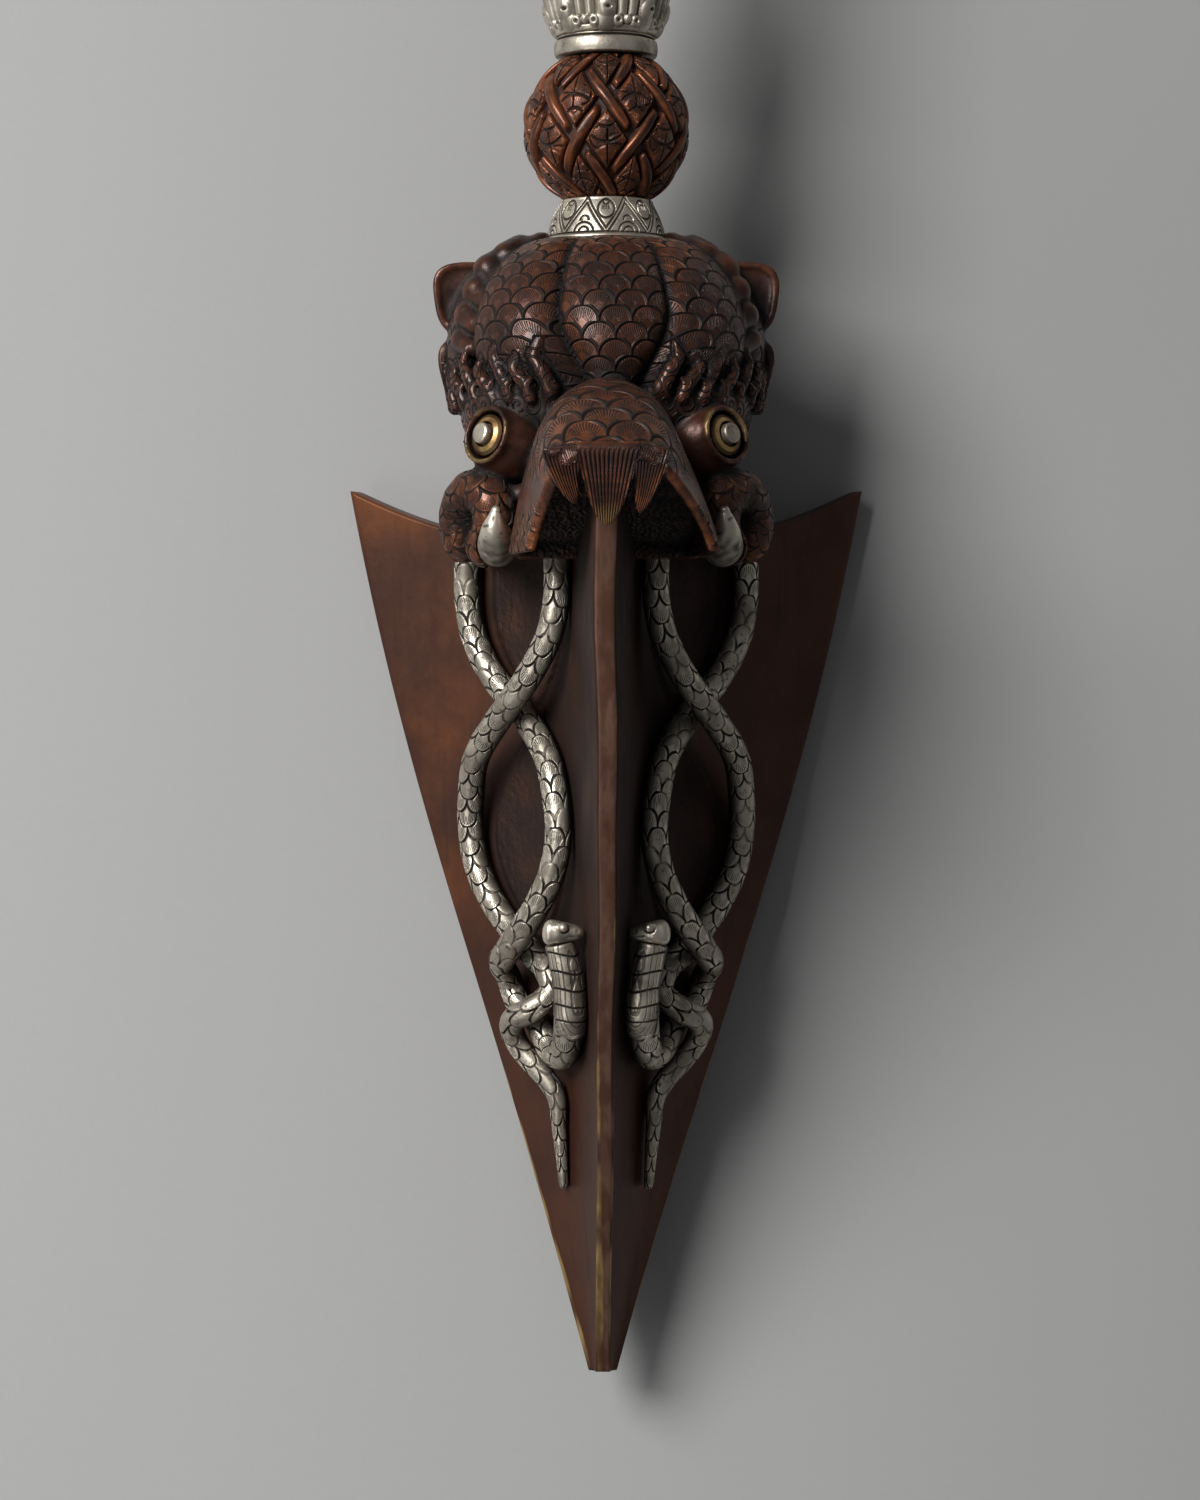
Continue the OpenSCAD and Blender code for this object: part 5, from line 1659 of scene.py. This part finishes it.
def run_tree():
    """The node tree that grows a scaled round run along a curve. Its seam lies away from Outward."""
    found = bpy.data.node_groups.get("scaled_run")
    if found:
        return found
    group, tree, given = start_group("scaled_run", {
        "Outward": ("Vector", (0, -1, 0)), "Sides": ("Int", 36), "Scales": ("Float", 4.0),
        "Row": ("Float", 0.0018), "Rise": ("Float", 0.00012), "Direction": ("Float", 1.0),
        "Belly": ("Float", 0.5)})

    tangent = tree.node("GeometryNodeInputTangent")
    lean = tree.vector("DOT_PRODUCT", tangent, given["Outward"], out=1)
    square = tree.vector("NORMALIZE", tree.vector("SUBTRACT", given["Outward"], tree.scaled(tangent, lean)))
    path = tree.node("GeometryNodeSetCurveNormal", {"mode": "FREE"},
                     {"Curve": given["Geometry"], "Normal": square})
    path, length = kept_value(tree, path, "Length", tree.node("GeometryNodeSplineParameter", out="Length"))
    ring = tree.node("GeometryNodeCurvePrimitiveCircle", {"mode": "RADIUS"},
                     {"Resolution": given["Sides"], "Radius": 1.0}, out="Curve")
    ring = tree.node("GeometryNodeTransform", None, {"Geometry": ring, "Rotation": (0, 0, math.pi)})
    ring, number = kept_value(tree, ring, "Number", tree.node("GeometryNodeInputIndex"))
    skin = tree.node("GeometryNodeCurveToMesh", None, {
        "Curve": path, "Profile Curve": ring, "Scale": tree.node("GeometryNodeInputRadius"),
        "Fill Caps": True})

    turn = number / given["Sides"]
    u = turn * given["Scales"]
    v = length / given["Row"] * given["Direction"]
    on_back = ramp(size_of(turn - 0.5), given["Belly"], given["Belly"] - 0.06)
    rise = fish_scales(u, v)[-1] * on_back
    offset = tree.scaled(tree.node("GeometryNodeInputNormal"), rise * given["Rise"])
    skin = tree.node("GeometryNodeSetPosition", None, {"Geometry": skin, "Offset": offset})
    skin = store(tree, skin, "pattern", tree.node("ShaderNodeCombineXYZ", None, {0: u, 1: v, 2: turn}))
    kinds = tree.node("ShaderNodeCombineXYZ", None, {0: on_back, 1: 1.0 - on_back})
    return end_group(group, tree, store(tree, skin, "kinds", kinds), given["Material"])


def gather(mesh):
    """A mesh's points in millimetres, its faces and its vector attributes."""
    points = np.empty(len(mesh.vertices) * 3)
    mesh.vertices.foreach_get("co", points)
    faces = [list(face.vertices) for face in mesh.polygons]
    marks = {}
    for key in ("pattern", "kinds", "age"):
        found = mesh.attributes.get(key)
        values = np.zeros(len(mesh.vertices) * 3, dtype=np.float32)
        if found:
            found.data.foreach_get("vector", values)
        marks[key] = values.reshape(-1, 3)
    return points.reshape(-1, 3) * 1000, faces, marks


def grow_run(name, path, values):
    """Points, faces and marks of a silver run along a path."""
    values = {"Material": material("aged_silver"), **values}
    return gather(modifier_mesh(path_curve(name, path), run_tree(), values))


def rounded_end(path):
    """The path with its last point closed to a round end."""
    last, before = path[-1], path[-2]
    aim = last[:3] - before[:3]
    aim = aim / np.linalg.norm(aim)
    extra = []
    for t in (0.35, 0.65, 0.87, 0.97, 1.0):
        extra.append([*(last[:3] + aim * last[3] * t), max(last[3] * math.sqrt(1 - t * t), 0.02)])
    return np.concatenate([path, extra])


def snake_head(s, crown, nose):
    """The small flat-topped head at the neck's top: points, faces and marks. It looks from crown to nose."""
    aim = (nose - crown) / np.linalg.norm(nose - crown)
    side = np.cross(aim, [0, 0, 1.0])
    side = side / np.linalg.norm(side)
    up = np.cross(side, aim)
    back, length = -s.neck * 0.96, s.neck * 2.6

    def section(a):
        t = held((a - back) / length)
        top = s.neck * (0.93 - 0.42 * t ** 1.5)
        low = s.neck * (-0.85 + 0.62 * t ** 0.9)
        wide = s.neck * (0.92 - 0.34 * t + 0.12 * np.exp(-((t - 0.42) / 0.14) ** 2))
        return t, (top + low) / 2, (top - low) / 2, wide

    def distance(x, y, z):
        off = [x - crown[0], y - crown[1], z - crown[2]]
        a, b, c = (sum(v * w for v, w in zip(off, axis)) for axis in (aim, side, up))
        t, middle, tall, wide = section(a)
        close = np.sqrt(np.clip(1 - (larger(0, np.abs(2 * t - 1) - 0.55) / 0.47) ** 2, 0.01, 1))
        shape = (np.abs(b / (wide * close)) ** 2.5 + np.abs((c - middle) / (tall * close)) ** 2.5) ** 0.4
        return larger((shape - 1) * tall * 0.8, np.abs(a - back - length / 2) - length / 2)

    def at(a, c, way, out=1.0):
        return crown + aim * a + up * c + side * (way * section(np.array(a))[3] * out)
    clay = Clay(crown - 7, crown + 7, 0.15)
    clay.add(Form(distance, crown - 6.5, crown + 6.5), 0.2)
    for way in (-1, 1):
        clay.add(ball(at(0.95, s.neck * 0.42, way, 0.86), 0.85), 0.3)
        lid = [[*at(0.95 + 0.85 * math.cos(q), s.neck * 0.42 + 0.75 * math.sin(q), way, 1.04), 0.24]
               for q in np.linspace(-3.0, 0.5, 7)]
        clay.cut(rope(lid), 0.1)
        clay.cut(ball(at(3.2, s.neck * 0.32, way), 0.34), 0.1)
        mouth = ((4.2, 0.2), (3.4, 0.95), (2.0, 1.0))
        clay.cut(rope([[*at(a, -0.05 - 0.05 * a, way, out), 0.26] for a, out in mouth]), 0.1)
        cheek = ((2.0, -0.2), (0.9, -1.0), (-0.3, -1.35), (-1.4, -0.9))
        clay.cut(rope([[*at(a, c, way), 0.2] for a, c in cheek]), 0.1)
    points, faces = clay.skin()
    fine = clay.hollows(points, 4)
    dirt_and_shade = held(-fine * 15 - 0.12)
    return points, faces.tolist(), carved(len(points), pattern=(0, 0, 0), kinds=(0, 0, dirt_and_shade),
                                          age=(held(0.5 + fine * 3), dirt_and_shade * 0.8, 0))


def merge(parts):
    """Several meshes as one."""
    points, faces, marks, start = [], [], {}, 0
    for part_points, part_faces, part_marks in parts:
        points.append(part_points)
        faces += [[i + start for i in face] for face in part_faces]
        for key, values in part_marks.items():
            marks.setdefault(key, []).append(values)
        start += len(part_points)
    return np.concatenate(points), faces, {key: np.concatenate(values) for key, values in marks.items()}


def belly_marks(s, points, marks, angle, shift):
    """Bands across the belly of a raised neck, on the side that faces the fin."""
    _, u = facing(angle, points[:, 0], points[:, 1])
    across = u - (shift - s.neck_off)
    z = points[:, 2]
    below_head = z < s.neck_top + 3
    neck = ramp(z, s.cross_3 - 2.5, s.cross_3 - 0.5) * (np.abs(across) < s.neck * 1.5) * below_head
    belly = neck * ramp(across, 0.75, 0.45)
    on_belly = belly > 0.5
    marks["pattern"][on_belly, 0] = across[on_belly]
    marks["pattern"][on_belly, 1] = (z + 0.11 * across ** 2 + 0.5 * wander(points, 7.0))[on_belly] / 2.6
    marks["kinds"][:, 0] *= 1 - belly
    marks["kinds"][:, 1] = belly
    marks["kinds"][:, 2] = neck * stroke(across - 0.6, 0.3)
    marks["age"][on_belly, 1] *= 0.4


NOSE_TURN = math.radians(33)


def make_serpent(name, b, s, face, kind):
    """One strand on a face: left, right or rear, ending in a head or a tail."""
    shift = 0.0 if face == "rear" else s.shift
    angle = FRONT + (3 * SIXTH if face == "rear" else SIXTH)
    controls = tail_path(b, s, shift) if kind == "tail" else neck_path(b, s, shift)
    path = to_space(smooth_path(controls, 14), angle)
    if kind == "tail":
        path = rounded_end(path)
    values = {"Outward": (math.cos(angle), math.sin(angle), 0), "Sides": 40, "Scales": float(s.scales),
              "Row": 0.0026, "Rise": 0.00020, "Direction": 1.0 if kind == "tail" else -1.0, "Belly": 0.36}
    body, faces, marks = grow_run(name + "_body", path, values)
    # Grime and painted shade: the sides of each strand that turn in to the blade are painted dark.
    marks["age"][:, 1] = 0.92 * ramp(np.abs(marks["pattern"][:, 2] - 0.5), 0.16, 0.33)
    parts = [(body, faces, marks)]
    if kind == "head":
        belly_marks(s, body, marks, angle, shift)
        u, n, z, r = on_face(b, s, shift - s.neck_off, s.neck_top, s.neck, s.head_lift + 0.6)
        crown = np.array([u - 0.6, n, z + s.neck * 0.6, r])
        nose = crown + np.array([-math.sin(NOSE_TURN), -math.cos(NOSE_TURN), -0.06, 0]) * 2.9
        crown, nose = to_space(np.array([crown, nose]), angle)[:, :3]
        parts.append(snake_head(s, crown, nose))
    points, faces, marks = merge(parts)
    if face == "left":
        points[:, 0] *= -1
        faces = [corners[::-1] for corners in faces]
    worn = marks["age"]
    worn[:, 0] = larger(worn[:, 0], 0.55 + 0.5 * wander(points, 5.0))
    make_piece(name, "silver", points, faces, marks)


class MakeSerpents(bpy.types.Operator):
    """Grow the six serpents along the blade's faces"""
    bl_idname = "dagger.serpents"
    bl_label = "Serpents"

    def execute(self, context):
        b, s = mm("blade"), mm("serpents")
        for face in ("left", "right", "rear"):
            for kind in ("head", "tail"):
                make_serpent(f"{face}_{kind}_serpent", b, s, face, kind)
        return {"FINISHED"}


# Eyes and tusks

def on_eye(e, side, points):
    """Local points, with z along the eye's line, as places in space."""
    aim = eye_line(e, side)
    across = np.array([-aim[1], aim[0], 0])
    across = across / np.linalg.norm(across)
    up = np.cross(aim, across)
    return np.array([0, 0, e.root]) + points[:, :1] * across + points[:, 1:2] * up + points[:, 2:] * aim


def closed_lathe(profile, columns):
    """A turned piece without a bore, from the axis below to the axis above."""
    around = np.arange(columns) * 2 * math.pi / columns
    profile = np.array(profile, dtype=float)
    points = [[0, 0, profile[0, 1]]]
    for r, z in profile[1:-1]:
        points += np.stack([r * np.cos(around), r * np.sin(around), np.full(columns, z)], axis=1).tolist()
    points.append([0, 0, profile[-1, 1]])
    rows = len(profile) - 2
    faces = (ring_faces(rows, columns) + 1).tolist()
    for i in range(columns):
        k = (i + 1) % columns
        faces.append([0, 1 + k, 1 + i])
        faces.append([len(points) - 1, 1 + (rows - 1) * columns + i, 1 + (rows - 1) * columns + k])
    return np.array(points), faces


def dense(profile, step=0.12):
    """A profile with points at most a step apart."""
    out = [profile[0]]
    for a, b in zip(profile[:-1], profile[1:]):
        parts = max(1, int(math.hypot(b[0] - a[0], b[1] - a[1]) / step))
        for i in range(1, parts + 1):
            out.append((a[0] + (b[0] - a[0]) * i / parts, a[1] + (b[1] - a[1]) * i / parts))
    return out


class MakeEyes(bpy.types.Operator):
    """Turn the domed eyeballs and the pupils"""
    bl_idname = "dagger.eyes"
    bl_label = "Eyes"

    def execute(self, context):
        e = mm("eyes")
        back = e.out - 3.8
        dome_r = e.ball + (e.pupil + 0.42 - e.ball) * np.arange(25) / 24
        dome_z = back + 3.2 + 1.15 * (1 - (dome_r / e.ball) ** 2)
        ball_outline = dense([(0, back), (e.ball - 0.2, back), (e.ball, back + 0.2), *zip(dome_r, dome_z),
                              (e.pupil + 0.3, back + 3.6), (e.pupil + 0.1, back + 3.3), (0, back + 3.3)])
        low, high, r = back + 1.5, back + 4.9, e.pupil
        peg_outline = dense([(0, low), (r - 0.05, low), (r - 0.05, high - 0.35), (r - 0.2, high - 0.12),
                             (r - 0.5, high), (0, high + 0.05)])
        for side, name in ((-1, "left"), (1, "right")):
            points, faces = closed_lathe(ball_outline, 72)
            out = np.hypot(points[:, 0], points[:, 1]) - e.pupil
            points = on_eye(e, side, points)
            wear = held(ramp(np.abs(out - 0.75), 0.65, 0.25) * 0.9 + 0.3 * wander(points, 2.0))
            dirt_and_shade = larger(ramp(np.abs(out - 0.2), 0.3, 0.1), 0.8 * ramp(out, 0.95, 1.15))
            make_piece(name + "_eyeball", "brass", points, faces, carved(len(points), age=(wear, dirt_and_shade, 0)))
            points, faces = closed_lathe(peg_outline, 56)
            make_piece(name + "_pupil", "silver", on_eye(e, side, points), faces)
        return {"FINISHED"}


class MakeTusks(bpy.types.Operator):
    """Grow the curved silver tusks"""
    bl_idname = "dagger.tusks"
    bl_label = "Tusks"

    def execute(self, context):
        h, e = mm("head"), mm("eyes")
        for side, name in ((-1, "left_tusk"), (1, "right_tusk")):
            path = rounded_end(smooth_path(tusk_line(h, e, side), 16))
            points, faces, marks = grow_run(name, path, {
                "Outward": (float(side), 0, 0), "Sides": 40, "Rise": 0.0, "Belly": -1.0})
            rough = wander(points, 1.1)
            root_dirt = ramp(points[:, 2], h.foot + 3.4, h.foot + 1.0) * (0.6 + 0.6 * rough)
            marks["age"][:, 0] = 0.9
            marks["age"][:, 1] = larger(ramp(rough, 0.34, 0.55) * 0.85, np.clip(root_dirt, 0, 0.8))
            marks["kinds"][:] = 0
            make_piece(name, "silver", points, faces, marks)
        return {"FINISHED"}


# The finial

def make_foot(s, low, high):
    """The finial's foot, with two rows of lotus petals."""
    t, turn = grid(110, 560)
    upper = s.base - 2.5 + 2.5 * np.sqrt(held(1 - ((t - 0.45) / 0.55) ** 2))
    lower = s.collar + (s.base - s.collar) * np.sin(held(t / 0.45) * math.pi / 2)
    wide = 2 * math.pi * s.base / s.foot_petals
    lift = -0.5
    cut = 0
    for offset, top in ((0.5, 0.97), (0.0, 0.80)):
        behind = top > 0.9
        side = np.abs(near_whole(turn * s.foot_petals + offset) * wide)
        half = wide * 0.48 * held((top - t) / (top - 0.05)) ** 0.38
        inside = ramp(half - side, -0.05, 0.2) > 0.5
        lift = np.where(inside, 0.10 - 0.35 * (side / larger(half, 0.1)) ** 2 - 0.2 * behind, lift)
        rim = stroke(half - side, 0.16) * (t < top)
        inner = stroke(half - 0.55 - side, 0.1) * (t < top - 0.1) * (not behind)
        cut = most(np.where(inside, 0, cut), rim, inner)
    r = np.where(t < 0.45, lower, upper)
    make_turned("finial_base", "silver", r, low + t * (high - low), lift, cut, sunk=-0.5)


def make_prongs(s, low):
    """Four curved prongs, one modelled and set round the axis."""
    path = smooth_path([[s.hub - 0.6, 0, low + 1.5, 1.7], [s.prong_out - 1, 0, low + 6.9, 2.0],
                        [s.prong_out, 0, low + 15.8, 1.75], [s.prong_out * 0.74, 0, low + 24.6, 1.5],
                        [s.spire + 1.4, 0, low + 28.7, 1.1]], 24)
    along = np.linspace(0, 1, len(path))
    for place in (0.22, 0.27, 0.74, 0.79):
        path[:, 3] *= 1 + 0.16 * np.exp(-((along - place) / 0.012) ** 2)
    path = rounded_end(rounded_end(path)[::-1])[::-1]
    points, faces, marks = grow_run("prong", path, {
        "Outward": (1.0, 0.0, 0.0), "Sides": 44, "Scales": 5.0, "Row": 0.0021, "Rise": 0.0001, "Belly": 0.2})
    radius = np.hypot(points[:, 0], points[:, 1])
    marks["age"][:, 0] = 0.55 + 0.4 * wander(points, 4.0)
    marks["age"][:, 1] = 0.6 * ramp(radius, s.prong_out - 2.5, s.prong_out - 5)
    one = to_mesh("prong", points, faces, material("aged_silver"), marks)
    values = {"Count": s.prongs, "Start": math.pi / 4, "Material": material("aged_silver")}
    make_piece("side_prongs", "silver", *gather(modifier_mesh(one, ring_tree(), values)))


def make_spire(s, low, high):
    """The middle prong: a ringed shaft with a facetted bud and a point, on the end of the rod."""
    r, top = s.spire, high - 10
    bore = s.bore - 0.02
    outline = [(0, low + 4), (bore, low + 4), (bore, low), (r + 0.3, low), (r + 0.3, low + 4), (r, low + 5)]
    for z in (low + 9, low + 10.2, low + 20.4, low + 21.6):
        outline += [(r, z - 0.5), (r + 0.35, z), (r, z + 0.5)]
    outline += [(r * 0.9, low + 30), (r + 1.0, top - 2.4), (r + 1.6, top), (r + 1.25, top + 1.4),
                (r + 0.5, top + 3.4), (r * 0.62, top + 6.2), (0.5, high - 0.5), (0, high)]
    points, faces = closed_lathe(dense(outline, 0.25), 64)
    z = points[:, 2]
    swell = ramp(z, low + 30, top) * ramp(z, high, top + 2)
    turn = np.arctan2(points[:, 1], points[:, 0])
    points[:, :2] *= (1 - 0.07 * swell * (1 - np.abs(np.cos(4 * turn)) ** 0.7))[:, None]
    grooves = sum(np.exp(-((z - low - g) / 0.35) ** 2) for g in (8.4, 10.8, 19.8, 22.2))
    wear = 0.6 + 0.4 * wander(points, 4.0)
    make_piece("centre_prong", "silver", points, faces,
               carved(len(points), age=(wear, np.clip(grooves, 0, 0.8), 0)))


class MakeFinial(bpy.types.Operator):
    """Turn the finial's foot and middle prong, and set the curved prongs round them"""
    bl_idname = "dagger.finial"
    bl_label = "Finial"

    def execute(self, context):
        s = mm("handle")
        make_foot(s, *span("finial_base"))
        make_prongs(s, span("side_prongs")[0])
        make_spire(s, *span("centre_prong"))
        return {"FINISHED"}


# Board, lamps and camera

class MakeStage(bpy.types.Operator):
    """Set the board, the lamps and the camera"""
    bl_idname = "dagger.stage"
    bl_label = "Stage"

    def execute(self, context):
        scene = context.scene
        make_board()
        make_lamps(scene)
        make_camera(scene)
        return {"FINISHED"}


BOARD_Y = 10.9  # how far the board is behind the tip, in millimetres
BOARD_SLOPE = 0.114
BOARD_HALF = 1400.0


def make_board():
    """A grey board behind the dagger, seen from its front only, with painted light: lighter to the left and
    bottom, darker to the right and top.
    """
    board, tree = new_material("grey_board")
    finish = mm("finishes")
    place = places(tree)
    grain = tree.noise(place, 900.0, 2.0)
    x, _, z = tree.split(place)
    # Painted light: the board's colour is lighter to the left and bottom and darker to the right and top,
    # standing in for the spread of the key lamp's light across it.
    shade = ramp(x * 2.5 + z, -0.30, 0.50)
    base = tree.mix(shade, [c * 1.12 for c in finish.board], [c * 0.86 for c in finish.board])
    base = tree.mix(grain * 0.12, base, finish.silver_dull)
    matte = tree.node("ShaderNodeBsdfPrincipled", None, {"Base Color": base, "Roughness": 0.85})
    clear = tree.node("ShaderNodeBsdfTransparent")
    back = tree.node("ShaderNodeNewGeometry", out="Backfacing")
    both = tree.node("ShaderNodeMixShader", None, {0: back, 1: matte, 2: clear})
    tree.node("ShaderNodeOutputMaterial", None, {"Surface": both})
    points = [[x * BOARD_HALF, BOARD_Y + z * BOARD_SLOPE * BOARD_HALF, z * BOARD_HALF]
              for x, z in ((-1, -1), (1, -1), (1, 1), (-1, 1))]
    panel = to_mesh("board", points, [[0, 1, 2, 3]], board)


def area_lamp(name, spot, aim, wide, watts):
    """A square lamp that looks at a point."""
    lamp = bpy.data.lights.new(name, "AREA")
    lamp.size = wide
    lamp.energy = watts
    holder = bpy.data.objects.new(name, lamp)
    holder.location = spot
    holder.rotation_euler = (Vector(aim) - Vector(spot)).to_track_quat("-Z", "Y").to_euler()
    bpy.context.scene.collection.objects.link(holder)


def make_lamps(scene):
    """A soft key from the left and above, a weak fill from the left and below, and an even sky."""
    middle = (0.0, 0.0, 0.12)
    area_lamp("key", (-0.80, -0.97, 0.74), middle, 0.70, 25.0)
    area_lamp("fill", (-0.75, -0.80, -0.35), middle, 0.5, 1.6)
    world = bpy.data.worlds.new("studio")
    world.use_nodes = True
    tree = Tree(world.node_tree)
    shade = tree.node("ShaderNodeBackground", None, {"Color": (0.8, 0.82, 0.85, 1), "Strength": 0.15})
    tree.node("ShaderNodeOutputWorld", None, {"Surface": shade})
    scene.world = world


SENSOR = 36
FRAME_HIGH = 1500  # pixels
FOCAL = 4300  # the lens's focal length in pixels of the frame
VIEW_POINT = (-0.001, -0.688, 0.0992)


def make_camera(scene):
    """The photograph's view: level, from the front."""
    camera = bpy.data.cameras.new("camera")
    camera.sensor_width = SENSOR
    camera.lens = SENSOR * FOCAL / FRAME_HIGH
    camera.clip_end = 10
    holder = bpy.data.objects.new("camera", camera)
    holder.location = VIEW_POINT
    holder.rotation_euler = (math.pi / 2, 0, 0)
    scene.collection.objects.link(holder)
    scene.camera = holder
    scene.view_settings.view_transform = "Standard"


class DaggerPanel(bpy.types.Panel):
    """Lists the pieces in the sidebar"""
    bl_label = "Dagger"
    bl_idname = "VIEW3D_PT_dagger"
    bl_space_type = "VIEW_3D"
    bl_region_type = "UI"
    bl_category = "Dagger"

    def draw(self, context):
        for operator in PIECES:
            self.layout.operator(operator.bl_idname)


GROUPS = {"dagger_blade": BladeSizes, "dagger_serpents": SerpentSizes, "dagger_head": HeadSizes,
          "dagger_eyes": EyeSizes, "dagger_handle": HandleSizes, "dagger_finishes": Finishes}
PIECES = [MakeStage, MakeBlade, MakeSerpents, MakeHead, MakeEyes, MakeTusks, MakeCollars, MakeKnots,
          MakeGrip, MakeFinial]


def register():
    for name, group in GROUPS.items():
        bpy.utils.register_class(group)
        setattr(bpy.types.Scene, name, PointerProperty(type=group))
    for operator in PIECES:
        bpy.utils.register_class(operator)
    bpy.utils.register_class(DaggerPanel)


def unregister():
    bpy.utils.unregister_class(DaggerPanel)
    for operator in reversed(PIECES):
        bpy.utils.unregister_class(operator)
    for name, group in GROUPS.items():
        delattr(bpy.types.Scene, name)
        bpy.utils.unregister_class(group)


def finish_nodes():
    """Gives every CAD node that still shows its metal."""
    slots = {part["node"]: part["material_slot"] for part in frame["record"]["subparts"]}
    for name, node in frame["nodes"].items():
        if not node.hide_render:
            node.data.materials.clear()
            node.data.materials.append(material(METALS[slots[name]]))


def main():
    """Makes every piece."""
    register()
    for operator in PIECES:
        group, name = operator.bl_idname.split(".")
        getattr(getattr(bpy.ops, group), name)()
    finish_nodes()


if __name__ == "__main__":
    main()
